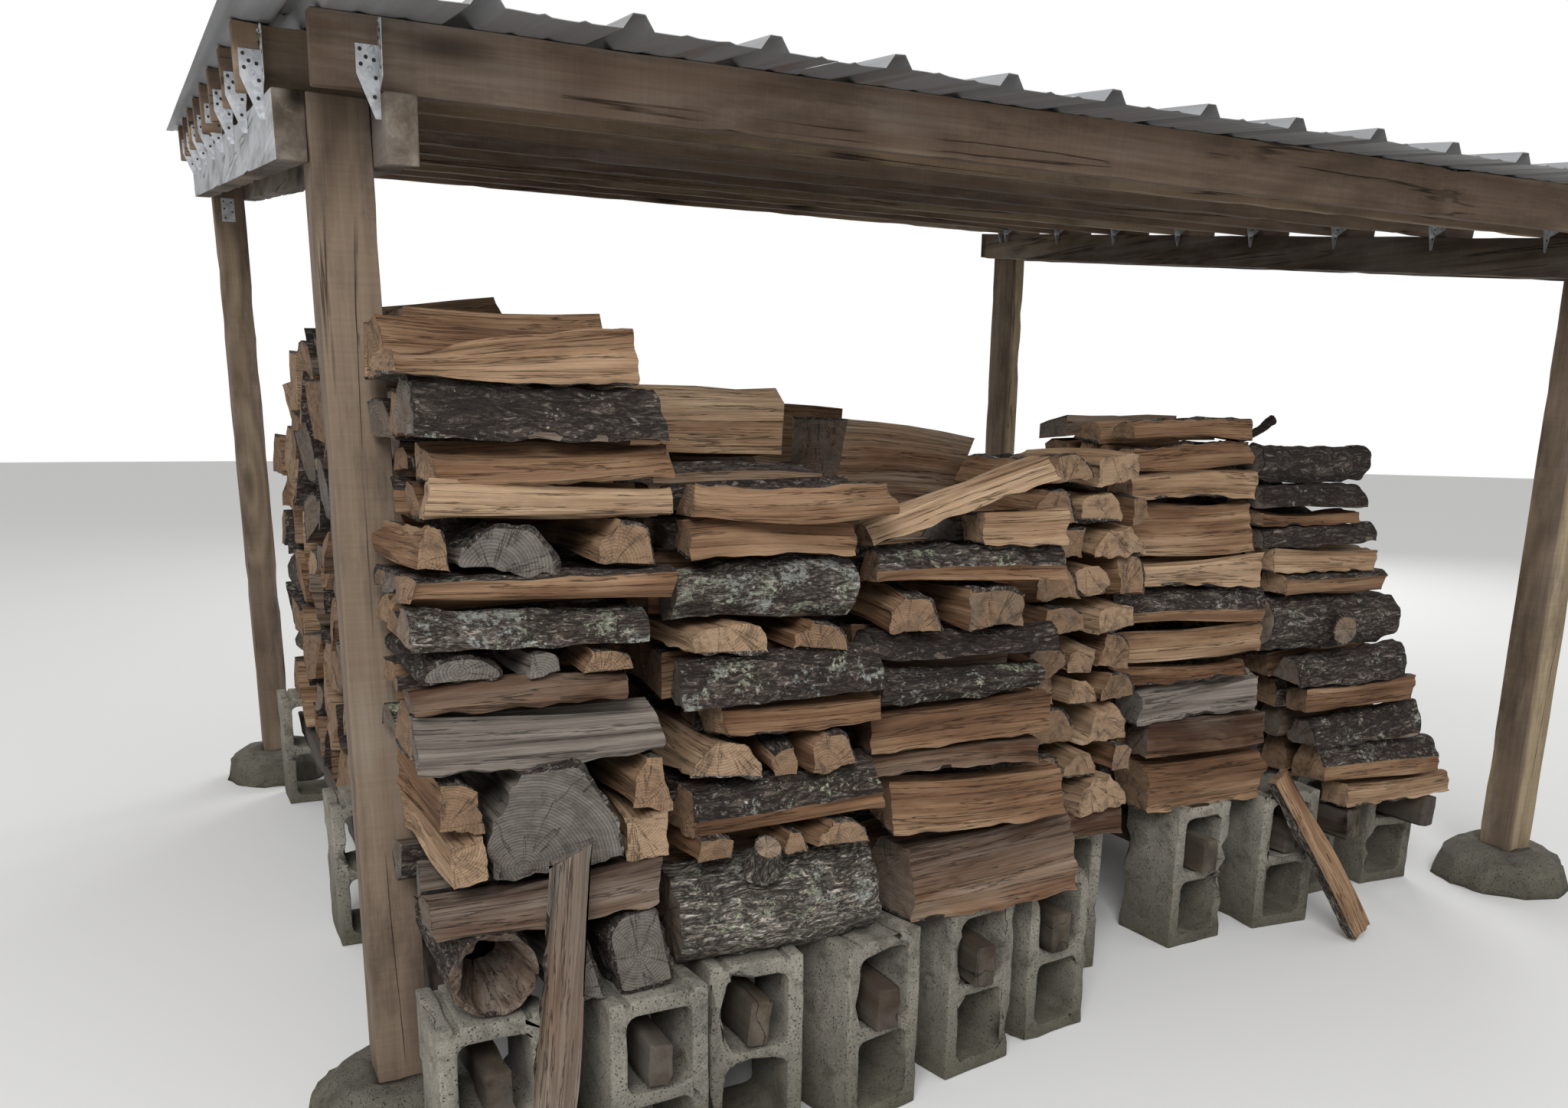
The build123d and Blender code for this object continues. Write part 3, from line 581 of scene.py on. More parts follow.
# How much slimmer than its solid a log is, how many degrees it lies askew, and its taper
SLIM_WIDTH = (0.9, 0.99)
SLIM_HEIGHT = (0.92, 0.99)
ASKEW = (("Z", 3.2), ("Y", 1.6), ("X", 8.0))
TAPER = (0.74, 1.0)
STUB_SIDES = 7
DRESSED_STUB_SIDES = 10
STUB_FLARE = 0.45


def is_bark(angle, way, spread):
    return abs((angle - way + math.pi) % (2 * math.pi) - math.pi) < spread


def new_log_mesh():
    shape = bmesh.new()
    shape.verts.layers.float_vector.new("log_place")
    shape.verts.layers.float_color.new("log_look")
    return shape


def finer_outline(shape, outline, way, spread, step):
    """Splits the edges of a log's section, and rounds its bark side."""
    middle = outline.calc_center_median()
    barked = {}
    for edge in outline.edges:
        a, b = (v.co for v in edge.verts)
        out = Vector((b.z - a.z, a.y - b.y))
        centre = (a + b) / 2 - middle
        if out.x * centre.y + out.y * centre.z < 0:
            out.negate()
        barked[edge] = is_bark(math.atan2(out.y, out.x), way, spread)
    for edge, bark in list(barked.items()):
        vert = edge.verts[0]
        for left in range(max(1, round(edge.calc_length() / step)), 1, -1):
            part, vert = bmesh.utils.edge_split(edge, vert, 1 / left)
            barked[part] = bark
    rounded = [v for v in shape.verts if all(barked[e] for e in v.link_edges)]
    for _ in range(3):
        bmesh.ops.smooth_vert(shape, verts=rounded, factor=0.5, use_axis_x=True, use_axis_y=True,
                              use_axis_z=True)


def log_prism(section, length, way, spread, fine):
    """A log's plain form from the origin along X: a finer section, drawn out in steps."""
    grain_step, ring_step = FINE_STEPS if fine else PLAIN_STEPS
    shape = new_log_mesh()
    outline = shape.faces.new([shape.verts.new((0, y, z)) for y, z in section])
    finer_outline(shape, outline, way, spread, ring_step)
    steps = max(3, round(length / grain_step))
    edges = outline.edges[:]
    for _ in range(steps):
        made = bmesh.ops.extrude_edge_only(shape, edges=edges)["geom"]
        moved = {g for g in made if isinstance(g, bmesh.types.BMVert)}
        bmesh.ops.translate(shape, verts=list(moved), vec=(length / steps, 0, 0))
        edges = [g for g in made if isinstance(g, bmesh.types.BMEdge) and all(v in moved for v in g.verts)]
    bmesh.ops.edgeloop_fill(shape, edges=edges)
    bmesh.ops.recalc_face_normals(shape, faces=shape.faces[:])
    for face in shape.faces:
        bark = is_bark(math.atan2(face.normal.z, face.normal.y), way, spread)
        face.material_index = BARK if bark else SPLIT
    return shape


def close_ends(shape, caps, radius):
    """Gives each end a rim, which is bark where the side beyond it is, and a middle point."""
    for cap in caps:
        made = bmesh.ops.inset_region(shape, faces=[cap], thickness=min(0.008, 0.12 * radius),
                                      use_even_offset=True)["faces"]
        cap.material_index = END
        for face in made:
            beyond = [f for e in face.edges for f in e.link_faces if abs(f.normal.x) < 0.5]
            face.material_index = BARK if beyond and beyond[0].material_index == BARK else END
        bmesh.ops.poke(shape, faces=[cap])


def hollow_out(shape, cap, radius):
    """Rots the heart out of one end: ring inside ring, each deeper than the last."""
    for share, depth in ROT_RINGS:
        made = bmesh.ops.inset_region(shape, faces=[cap], thickness=share * radius,
                                      use_even_offset=True)["faces"]
        bmesh.ops.translate(shape, verts=cap.verts[:], vec=(depth, 0, 0))
        for face in (*made, cap):
            face.material_index = SPLIT


def waves(spot, along, about, offset):
    """Noise on a log, with so many waves per metre along it and about it."""
    x, y, z = spot
    return noise.noise(Vector((x * along, y * about, z * about)) + offset)


def torn(shape, length, offset, bows, tilts):
    """Gives a log its relief and its bow, and its ends their slants and uneven cuts."""
    shape.normal_update()
    for vert in shape.verts:
        x, y, z = vert.co
        bark = any(face.material_index == BARK for face in vert.link_faces)
        swell, along, about, depth = BARK_RELIEF if bark else SPLIT_RELIEF
        broad = waves(vert.co, *SWELL, offset) * swell
        relief = waves(vert.co, along, about, offset) * depth
        if not bark:
            relief += abs(waves(vert.co, *TEARS, -offset)) * TEAR_DEPTH - TEAR_LEVEL
        normal = vert.normal.copy()
        normal.x = 0
        move = normal * (broad + relief - SET_IN)
        bend = math.sin(math.pi * x / length)
        move += Vector((0, bows[0] * bend, bows[1] * bend))
        if x < 0.001 or x > length - 0.001:
            tilt = tilts[0] if x < 0.001 else tilts[1]
            cut = noise.noise(Vector((y * SAW_WAVES, z * SAW_WAVES, x)) + offset) * SAW_DEPTH
            move.x += tilt.dot(vert.co) + cut
        vert.co += move


def make_log(total, section, length, look, seed, place, fine=False, taper=1.0, flare=0.0):
    """Dresses one log and adds it to the whole: rounded bark, torn splits, sawn ends with a bark rim.

    The section is (across, up) about the log's own middle, and the log runs along its own X from the
    origin; place is the matrix that sets it in the store. Taper is the near end's height over the far
    end's, and flare widens the near end.
    """
    draw = random.Random(seed)
    turn, reach, tone, weather, lichen = look
    way = math.radians(turn + draw.uniform(-14, 14))
    spread = math.radians(reach)
    shape = log_prism(section, length, way, spread, fine)
    caps = sorted((face for face in shape.faces if abs(face.normal.x) > 0.9),
                  key=lambda face: face.normal.x)
    radius = math.sqrt(caps[0].calc_area() / math.pi)
    if look is LOOKS["hollow"]:
        hollow_out(shape, caps.pop(0), radius)
    close_ends(shape, caps, radius)
    place_layer = shape.verts.layers.float_vector["log_place"]
    look_layer = shape.verts.layers.float_color["log_look"]
    off_heart = 0.12 if spread > 2.6 else 0.95
    pith = Vector((0, -math.cos(way), -math.sin(way))) * radius * off_heart
    values = (tone + draw.uniform(-0.1, 0.1), weather + draw.uniform(-0.08, 0.08),
              lichen * draw.uniform(0.7, 1.1), draw.random())
    bottom = min(z for y, z in section)
    for vert in shape.verts:
        vert[place_layer] = vert.co - pith
        vert[look_layer] = values
        share = vert.co.x / length
        vert.co.z = bottom + (vert.co.z - bottom) * (taper + (1 - taper) * share) / max(1.0, taper)
        vert.co.yz = vert.co.yz * (1 + flare * (1 - share) ** 2)
    offset = Vector([draw.uniform(0, 90) for _ in range(3)])
    bows = [draw.uniform(-BOW, BOW) for _ in range(2)]
    tilts = [Vector((0, draw.uniform(-END_SLANT, END_SLANT), draw.uniform(-END_SLANT, END_SLANT)))
             for _ in range(2)]
    if look is LOOKS["standing"]:
        tilts[1] = Vector((0, 0, -STANDING_SLANT))
    torn(shape, length, offset, bows, tilts)
    bmesh.ops.transform(shape, matrix=place, verts=shape.verts[:])
    bmesh.ops.recalc_face_normals(shape, faces=shape.faces[:])
    mesh = mesh_of("log", shape)
    total.from_mesh(mesh)
    bpy.data.meshes.remove(mesh)


class Log:
    """One log's solid in a CAD node: its section, its length, its place and its branch stubs."""

    def __init__(self, faces):
        stub_ends = [face for face in faces if is_stub_end(face)]
        verts = {v for face in faces for v in face.verts} - {v for face in stub_ends for v in face.verts}
        faces = [face for face in faces if face not in stub_ends]

        def depth(face):
            middle = face.calc_center_median()
            return max((middle - v.co).dot(face.normal) for v in verts)

        near = max(faces, key=depth)
        self.length = depth(near)
        way = -near.normal
        far = min((face for face in faces if face.normal.dot(way) > 0.9),
                  key=lambda face: -face.calc_center_median().dot(way))
        self.axis = max(range(3), key=lambda i: abs(way[i]))
        if way[self.axis] < 0:
            near, far, way = far, near, -way
        side = Vector((1, 0, 0)) if self.axis == 1 else Vector((0, 1, 0))
        side = (side - way * side.dot(way)).normalized()
        up = way.cross(side)
        if up.z < -0.001 or (abs(up.z) < 0.001 and up.x < 0):
            up.negate()
        whole = max((near, far), key=lambda face: face.calc_area())
        corners = [(v.co.dot(side), v.co.dot(up)) for v in whole.verts]
        middle = [(min(c[i] for c in corners) + max(c[i] for c in corners)) / 2 for i in range(2)]
        self.section = [(a - middle[0], b - middle[1]) for a, b in corners]
        self.taper = rise(near, up) / rise(far, up)
        origin = way * near.calc_center_median().dot(way) + side * middle[0] + up * middle[1]
        self.place = set_at(origin, way, side, up)
        self.low = Vector([min(v.co[i] for v in verts) for i in range(3)])
        self.stubs = [stub_frame(face) for face in stub_ends]

    def order(self):
        return round(self.low.z, 3), round(self.low.y, 4), round(self.low.x, 4)


def rise(face, up):
    """A face's height along a direction."""
    heights = [v.co.dot(up) for v in face.verts]
    return max(heights) - min(heights)


def is_stub_end(face):
    """Whether a face is the regular sawn end of a branch stub."""
    middle = face.calc_center_median()
    reaches = [(v.co - middle).length for v in face.verts]
    return len(reaches) == STUB_SIDES and max(reaches) - min(reaches) < 0.0005


def stub_frame(face):
    """A branch stub from its sawn face: the place of its root, its radius and its reach."""
    way = face.normal.copy()
    reach = max(e.calc_length() for v in face.verts for e in v.link_edges if e not in face.edges[:])
    radius = (face.verts[0].co - face.calc_center_median()).length
    side = way.orthogonal().normalized()
    return set_at(face.calc_center_median() - way * reach, way, side, way.cross(side)), radius, reach


def front_looks(logs, looks):
    """The look of each log that stands in a stack's front line."""
    courses = []
    height = -1.0
    for log in logs:
        if log.low.z > height + COURSE_GAP:
            courses.append([])
            height = log.low.z
        courses[-1].append(log)
    found = {}
    for course, look in zip(courses, looks):
        along = [log for log in course if log.axis == 0]
        if isinstance(look, tuple):
            ends = sorted((log for log in course if log.axis == 1), key=lambda log: log.low.x)
            found.update(zip(ends, look))
        elif along:
            found[min(along, key=lambda log: log.low.y)] = look
    return found


def add_log(total, log, look, seed, fine):
    """A log and its stubs, a little slimmer than its solid, so that dark gaps open beside it."""
    draw = random.Random(seed + 7)
    bottom = min(z for y, z in log.section)
    wide, tall = draw.uniform(*SLIM_WIDTH), draw.uniform(*SLIM_HEIGHT)
    section = [(y * wide, bottom + (z - bottom) * tall) for y, z in log.section]
    askew = Matrix.Identity(4)
    for axis, most in ASKEW:
        askew @= Matrix.Rotation(math.radians(draw.uniform(-most, most)), 4, axis)
    middle = Matrix.Translation((log.length / 2, 0, 0))
    place = log.place @ middle @ askew @ middle.inverted()
    taper = log.taper * draw.uniform(*TAPER) ** draw.choice((-1, 1))
    make_log(total, section, log.length, look, seed, place, fine, taper)
    turns = [math.tau * i / DRESSED_STUB_SIDES for i in range(DRESSED_STUB_SIDES)]
    for number, (place, radius, reach) in enumerate(log.stubs, seed + 501):
        ring = [(radius * math.cos(turn), radius * math.sin(turn)) for turn in turns]
        make_log(total, ring, reach, (0, 180, *look[2:]), number, place, fine=True, flare=STUB_FLARE)


def dress_firewood(node, seed, looks, materials):
    """A stack or row of firewood, every log dressed."""
    source = cad_copy(node)
    logs = sorted((Log(faces) for faces in loose_parts(source)), key=Log.order)
    source.free()
    if node == "loose_logs":
        known = dict(zip(logs, looks))
    else:
        known = front_looks([log for log in logs if log.low.z > RACK_TOP], looks)
        known.update((log, "tan") for log in logs if looks and log.low.z <= RACK_TOP)
    total = new_log_mesh()
    draw = random.Random(seed)
    for number, log in enumerate(logs, seed * 1000):
        inner = LOOKS[draw.choice(INNER_LOOKS)]
        look = LOOKS[known[log]] if log in known else (draw.choice(INNER_TURNS), *inner[1:])
        add_log(total, log, look, number, log in known)
    piece(f"{node}_logs", total, materials, node, smooth=35.0)


# Concrete and runners

# The edges of the blocks' cores are longer than the first and start lower than the second
CORE_EDGE_LENGTH, CORE_EDGE_FOOT = 0.15, 0.375
RUNNER_ROLL = 7
RUNNER_WIDTH = (0.7, 0.86)
RUNNER_HEIGHT = (0.8, 0.9)


def make_blocks(node, seed, material):
    """Two-core blocks with rounded cores, eased arrises and knocked corners."""
    shape = cad_copy(node)
    cores = [e for e in sharp_edges(shape, False)
             if e.calc_length() > CORE_EDGE_LENGTH and e.verts[0].co.z < CORE_EDGE_FOOT]
    bmesh.ops.bevel(shape, geom=cores, offset=0.02, affect="EDGES", segments=3, profile=0.5, material=-1)
    cut_across(shape, (0, 0.05), (1, 0.05), (2, 0.033))
    eased(shape, 0.004, 0.045, seed)
    roughen(shape, seed, 0.02, 0.002)
    roughen(shape, seed + 1, 0.1, 0.0012)
    piece(f"{node}_rough", shape, [material], node, smooth=40.0)


def make_runners(seed, material):
    """Weathered runners with worn, slightly rolled ends."""
    shape = cad_copy("runners")
    cut_across(shape, (1, 0.06), (0, 0.03), (2, 0.03))
    eased(shape, 0.006, 0.02, seed)
    draw = random.Random(seed)
    # Sorted by place, because the bevel doesn't leave the faces in the same order each time
    parts = [sorted({v for face in faces for v in face.verts}, key=lambda vert: vert.co[:])
             for faces in loose_parts(shape)]
    for verts in sorted(parts, key=lambda verts: verts[0].co[:]):
        middle = sum((v.co for v in verts), Vector()) / len(verts)
        roll = Matrix.Rotation(math.radians(draw.uniform(-RUNNER_ROLL, RUNNER_ROLL)), 3, "Y")
        wide, tall = draw.uniform(*RUNNER_WIDTH), draw.uniform(*RUNNER_HEIGHT)
        for vert in verts:
            apart = vert.co - middle
            vert.co = middle + roll @ Vector((apart.x * wide, apart.y, apart.z * tall))
    roughen(shape, seed, 0.03, 0.006, (1, 0.3, 1))
    piece("runners_timber", shape, [material], "runners")


def make_footing(node, seed, material):
    """A rough mound of hand-placed concrete."""
    shape = cad_copy(node)
    cut_across(shape, (0, 0.03), (1, 0.03), (2, 0.022))
    roughen(shape, seed, 0.09, 0.012)
    roughen(shape, seed + 3, 0.03, 0.006)
    for vert in shape.verts:
        vert.co.z = max(vert.co.z, 0.0)
    piece(f"{node}_rough", shape, [material], node, smooth=60.0)


# Steel

SHEETS = 4
RIBS_ON_SHEET = 4
MINOR_RIB_HEIGHT = 0.0035
MINOR_RIB_HALF = 0.011
MINOR_RIB_FROM_RIB = 0.14
BUCKLED_LENGTH = 0.16
BUCKLE_DEPTH = 0.006
WANDER_DEPTH = 0.0016

# Heads and holes: radius, height, sides, the tip's share of the radius, and the material
WASHER = (0.008, 0.001, 8, 1.0, 0)
SCREW_HEAD = (0.0045, 0.005, 6, 0.8, 0)
NAIL_HEAD = (0.0046, 0.0014, 8, 0.7, 0)
# An open hole is a thin near-black disc: painted shade where the hole is
OPEN_HOLE = (0.0033, 0.0004, 8, 1.0, 1)

# Places of the nails and holes on a tie's flange, as shares of its width from its free edge and of
# its height from its top; every fourth is a nail, from the second one
NAIL_PLACES = ((0.2, 0.07), (0.72, 0.05), (0.45, 0.17), (0.8, 0.2), (0.22, 0.27), (0.6, 0.33), (0.85, 0.44),
               (0.6, 0.7))
LEAST_FLANGE_AREA = 0.0012
PLATE_SIZE = (0.044, 0.0012, 0.078)
PLATE_INSET = 0.045
PLATE_HOLES = ((-0.013, 0.028), (0.012, 0.026), (-0.012, 0.004), (0.013, -0.006), (-0.011, -0.027))


def stud(shape, place, way, form):
    """A short round head, or a hole's dark disc, on a face."""
    radius, height, sides, tip, material_index = form
    turn = way.to_track_quat("Z", "Y").to_matrix().to_4x4()
    made = bmesh.ops.create_cone(shape, cap_ends=True, segments=sides, radius1=radius, radius2=radius * tip,
                                 depth=height, matrix=Matrix.Translation(place + way * height / 2) @ turn)
    for face in {face for vert in made["verts"] for face in vert.link_faces}:
        face.material_index = material_index


def make_roof_sheet(node, seed, material):
    """A ribbed sheet with low stiffening ribs in its pans, a buckled front edge and a slight wander."""
    low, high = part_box(node)
    shape = cad_copy(node)
    cut_across(shape, (1, 0.09), (0, 0.0105))
    pitch = (high.x - low.x) / RIBS_ON_SHEET
    for vert in shape.verts:
        x, y, z = vert.co
        across = ((x - low.x) / pitch) % 1.0
        lift = 0.0
        for middle in (0.0, 1.0):
            for side in (-MINOR_RIB_FROM_RIB, MINOR_RIB_FROM_RIB):
                apart = abs(across - middle - side) * pitch
                if apart < MINOR_RIB_HALF:
                    lift = MINOR_RIB_HEIGHT * (0.5 + 0.5 * math.cos(math.pi * apart / MINOR_RIB_HALF))
        near_front = max(0.0, 1 - (y - low.y) / BUCKLED_LENGTH)
        buckle = noise.noise(Vector((x * 7 + seed, y * 2, 0))) * BUCKLE_DEPTH * near_front
        wander = (noise.noise(Vector((x * 1.8, y * 1.3, seed))) + 0.4) * WANDER_DEPTH
        vert.co.z += lift + max(-0.002, buckle) + wander
    for joist in JOISTS:
        front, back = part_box(joist)
        y = (front.y + back.y) / 2
        for number in range(RIBS_ON_SHEET):
            place = Vector((low.x + (number + 0.5) * pitch, y, 0))
            hits = [v.co.z for v in shape.verts if abs(v.co.x - place.x) < 0.012 and abs(v.co.y - y) < 0.05]
            if hits:
                place.z = max(hits)
                for form in (WASHER, SCREW_HEAD):
                    stud(shape, place, Vector((0, 0, 1)), form)
    piece(f"{node}_steel", shape, [material], node, smooth=35.0)


def post_plate(shape):
    """The small nailed plate on the front of the rear left post, just under the outer beam."""
    low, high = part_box("post_rear_left")
    corners = [v.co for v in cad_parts["end_beam_left_outer"].data.vertices]
    (front, front_foot), (back, back_foot) = [
        (y, min(v.z for v in corners if abs(v.y - y) < 0.001))
        for y in (min(v.y for v in corners), max(v.y for v in corners))]
    share = (low.y - front) / (back - front)
    beam_foot = front_foot + (back_foot - front_foot) * share
    thick = PLATE_SIZE[1]
    middle = Vector((low.x + PLATE_INSET, low.y - thick / 2, beam_foot - PLATE_INSET))
    made = bmesh.ops.create_cube(shape, size=1.0)
    bmesh.ops.scale(shape, verts=made["verts"], vec=PLATE_SIZE)
    bmesh.ops.translate(shape, verts=made["verts"], vec=middle)
    for across, up in PLATE_HOLES:
        stud(shape, middle + Vector((across, -thick / 2, up)), Vector((0, -1, 0)), OPEN_HOLE)


def reach_at(face, across, height):
    """Where a flange begins and ends at a height."""
    found = []
    for edge in face.edges:
        a, b = (v.co for v in edge.verts)
        if (a.z - height) * (b.z - height) < 0:
            found.append(a[across] + (b[across] - a[across]) * (height - a.z) / (b.z - a.z))
    return min(found), max(found)


def make_ties(node, zinc, holes):
    """Bent ties with nails and open holes in both flanges."""
    shape = cad_copy(node)
    flanges = []
    for faces in loose_parts(shape):
        for axis, sign in ((1, -1), (1, 1), (0, -1)):
            found = [face for face in faces if face.normal[axis] * sign > 0.9]
            flanges.append((max(found, key=lambda face: face.calc_area()), axis))
    for face, axis in flanges:
        if face.calc_area() < LEAST_FLANGE_AREA:
            continue
        across = 1 - axis
        top = max(v.co.z for v in face.verts)
        tall = top - min(v.co.z for v in face.verts)
        middle, way = face.calc_center_median(), face.normal.copy()
        for number, (share, down) in enumerate(NAIL_PLACES):
            place = middle.copy()
            place.z = top - tall * down
            low, high = reach_at(face, across, place.z)
            place[across] = low + (high - low) * (share if axis == 1 else 1 - share)
            place[axis] -= way.dot(place - middle) / way[axis]
            stud(shape, place, way, NAIL_HEAD if number % 4 == 1 else OPEN_HOLE)
    if node == "ties_left":
        post_plate(shape)
    piece(f"{node}_steel", shape, [zinc, holes], node, smooth=25.0)


# Stage and camera

FLOOR_RADIUS = 40
FLOOR_DROP = 0.0005
LAMP_AIM = Vector((0, 0, 0.8))
# Each lamp: its name, place and size, and its power as a share of the key lamp's
LAMPS = (("key_lamp", (-4.5, -7.5, 6.0), 4.0, 1.0), ("fill_lamp", (6.0, 7.5, 5.0), 5.0, 0.6))


def make_floor(colour):
    material = bpy.data.materials.new("studio floor")
    material.use_nodes = True
    nodes = Nodes(material.node_tree)
    shader = nodes.add("ShaderNodeBsdfPrincipled", {"Base Color": (*colour, 1), "Roughness": 0.9,
                                                    "Specular IOR Level": 0.1})
    nodes.add("ShaderNodeOutputMaterial", {0: shader.outputs[0]})
    shape = bmesh.new()
    bmesh.ops.create_circle(shape, cap_ends=True, radius=FLOOR_RADIUS, segments=64)
    mesh = mesh_of("studio_floor", shape)
    mesh.materials.append(material)
    floor = in_scene("studio_floor", mesh)
    floor.location.z = -FLOOR_DROP


def make_sky(strength):
    """Even light from all round, white where the camera or a reflection sees it."""
    world = bpy.data.worlds.new("studio")
    bpy.context.scene.world = world
    world.use_nodes = True
    nodes = Nodes(world.node_tree)
    rays = nodes.add("ShaderNodeLightPath").outputs
    mirrored = nodes.work_out("MAXIMUM", rays["Is Glossy Ray"], rays["Is Transmission Ray"])
    seen = nodes.work_out("MAXIMUM", rays["Is Camera Ray"], mirrored)
    lit = nodes.total(strength, (seen, 1.0 - strength))
    light = nodes.add("ShaderNodeBackground", {"Color": (1, 1, 1, 1), "Strength": lit})
    nodes.add("ShaderNodeOutputWorld", {0: light.outputs[0]})


def make_lamp(name, place, size, power):
    data = bpy.data.lights.new(name, "AREA")
    data.shape = "SQUARE"
    data.size = size
    data.energy = power
    lamp = in_scene(name, data)
    lamp.location = place
    lamp.rotation_euler = (LAMP_AIM - Vector(place)).to_track_quat("-Z", "Y").to_euler()


CAMERA_PLACE = Vector((-2.0432, -3.7023, 1.3975))
CAMERA_YAW = 0.4555
CAMERA_PITCH = 0.2464
CAMERA_ROLL = 0.0112
FOCAL_PIXELS = 1652.5
IMAGE_WIDTH = 2048
IMAGE_HEIGHT = 1447
MIDDLE_ROW = 965.5
SENSOR = 36.0


def make_camera():
    """The photograph's viewpoint: standing in front of the left end, looking to the right and down."""
    forward = Vector((math.sin(CAMERA_YAW) * math.cos(CAMERA_PITCH),
                      math.cos(CAMERA_YAW) * math.cos(CAMERA_PITCH), -math.sin(CAMERA_PITCH)))
    level = Vector((math.cos(CAMERA_YAW), -math.sin(CAMERA_YAW), 0))
    above = level.cross(forward)
    right = level * math.cos(CAMERA_ROLL) + above * math.sin(CAMERA_ROLL)
    up = above * math.cos(CAMERA_ROLL) - level * math.sin(CAMERA_ROLL)
    data = bpy.data.cameras.new("photo_view")
    data.sensor_width = SENSOR
    data.lens = SENSOR * FOCAL_PIXELS / IMAGE_WIDTH
    data.shift_y = (MIDDLE_ROW - IMAGE_HEIGHT / 2) / IMAGE_WIDTH
    data.clip_start = 0.02
    data.clip_end = 200
    camera = in_scene("photo_view", data)
    camera.matrix_world = set_at(CAMERA_PLACE, right, up, -forward)
    bpy.context.scene.camera = camera


# Settings that a user would change

def colour_property(name, description, value):
    return FloatVectorProperty(name=name, description=description, default=value, subtype="COLOR",
                               min=0, max=1)


class FirewoodColours(bpy.types.PropertyGroup):
    """Colours of the firewood."""

    heart_dark: colour_property("Dark heartwood", "Darkest streaks of a split face", (0.075, 0.04, 0.024))
    heart: colour_property("Heartwood", "Orange-brown heartwood of a split face", (0.2, 0.117, 0.068))
    tan: colour_property("Tan wood", "Most of a fresh split face", (0.34, 0.232, 0.148))
    sap: colour_property("Sapwood", "Palest wood, next to the bark", (0.5, 0.385, 0.27))
    end_dark: colour_property("Dark end", "Old sawn ends", (0.075, 0.052, 0.037))
    end_mid: colour_property("Sawn end", "Most sawn ends", (0.25, 0.165, 0.105))
    end_light: colour_property("Pale end", "Fresh sawn ends", (0.44, 0.32, 0.215))
    bark_dark: colour_property("Dark bark", "Bark in shade and rot", (0.1, 0.082, 0.074))
    bark: colour_property("Bark", "Most of the bark", (0.205, 0.172, 0.152))
    bark_pale: colour_property("Pale bark", "Weathered ridges of the bark", (0.43, 0.395, 0.35))
    # Painted shade at the bottoms of the bark's furrows
    shaded_furrow: colour_property("Furrow", "Bottoms of the bark's furrows", (0.028, 0.022, 0.019))
    lichen: colour_property("Lichen", "Pale growth on the bark", (0.47, 0.5, 0.35))
    lichen_grey: colour_property("Grey lichen", "Grey growth on the bark", (0.44, 0.455, 0.42))


class FrameColours(bpy.types.PropertyGroup):
    """Colours of the frame, the roof and the blocks."""

    post: colour_property("Post", "Sawn face of the posts", (0.285, 0.222, 0.168))
    post_dark: colour_property("Post grain", "Dark grain of the posts", (0.12, 0.088, 0.066))
    joist: colour_property("Joist", "Sawn face of the joists", (0.27, 0.2, 0.15))
    joist_dark: colour_property("Joist grain", "Dark grain of the joists", (0.15, 0.105, 0.078))
    # The end beams' colours are darker than the posts' and joists': partly the beams' own darker wood,
    # partly painted shade, as the beams are seen from below in shadow
    beam: colour_property("Beam", "Sawn face of the end beams", (0.17, 0.132, 0.1))
    beam_dark: colour_property("Beam grain", "Dark grain of the end beams", (0.085, 0.062, 0.046))
    grey: colour_property("Weathered wood", "Wood greyed by sun and rain", (0.34, 0.31, 0.275))
    concrete: colour_property("Concrete", "Body of the blocks and footings", (0.2, 0.19, 0.165))
    concrete_pale: colour_property("Pale concrete", "Dusty faces of the blocks", (0.36, 0.335, 0.285))


class StageSettings(bpy.types.PropertyGroup):
    """The floor and the light."""

    floor: colour_property("Floor", "Colour of the studio floor", (0.8, 0.8, 0.79))
    sky: FloatProperty(name="Even light", description="Strength of the light from all round", default=0.62,
                       min=0, max=2, subtype="FACTOR")
    key: FloatProperty(name="Key lamp", description="Power of the soft lamp in front", default=600, min=0,
                       max=5000, unit="POWER")


class PostsOperator(bpy.types.Operator):
    """Dress the four rough-sawn posts"""

    bl_idname = "log_store.posts"
    bl_label = "Posts"

    def execute(self, context):
        colours = context.scene.log_store_frame
        timber = make_sawn_timber("post timber", 2, colours.post_dark, colours.post, colours.grey,
                                  150.0, 0.18)
        for seed, corner in enumerate(CORNERS, 1):
            sawn_piece(f"post_{corner}", timber, 2, seed)
        return {"FINISHED"}


class BeamsOperator(bpy.types.Operator):
    """Dress the paired end beams"""

    bl_idname = "log_store.beams"
    bl_label = "End beams"

    def execute(self, context):
        colours = context.scene.log_store_frame
        timber = make_sawn_timber("beam timber", 1, colours.beam_dark, colours.beam, colours.grey,
                                  120.0, 0.3)
        bleached = make_sawn_timber("bleached beam", 1, toned(colours.beam, 1.3), (0.4, 0.4, 0.4),
                                    (0.46, 0.47, 0.49), 90.0, 0.8)
        for seed, side in enumerate(("left_inner", "left_outer", "right_inner", "right_outer"), 11):
            sawn_piece(f"end_beam_{side}", timber, 1, seed,
                       bleached if side == "left_outer" else None)
        return {"FINISHED"}


class JoistsOperator(bpy.types.Operator):
    """Dress the joists under the roof"""

    bl_idname = "log_store.joists"
    bl_label = "Joists"

    def execute(self, context):
        colours = context.scene.log_store_frame
        timber = make_sawn_timber("joist timber", 0, colours.joist_dark, colours.joist, colours.grey,
                                  140.0, 0.22)
        for seed, joist in enumerate(JOISTS, 21):
            sawn_piece(joist, timber, 0, seed)
        return {"FINISHED"}


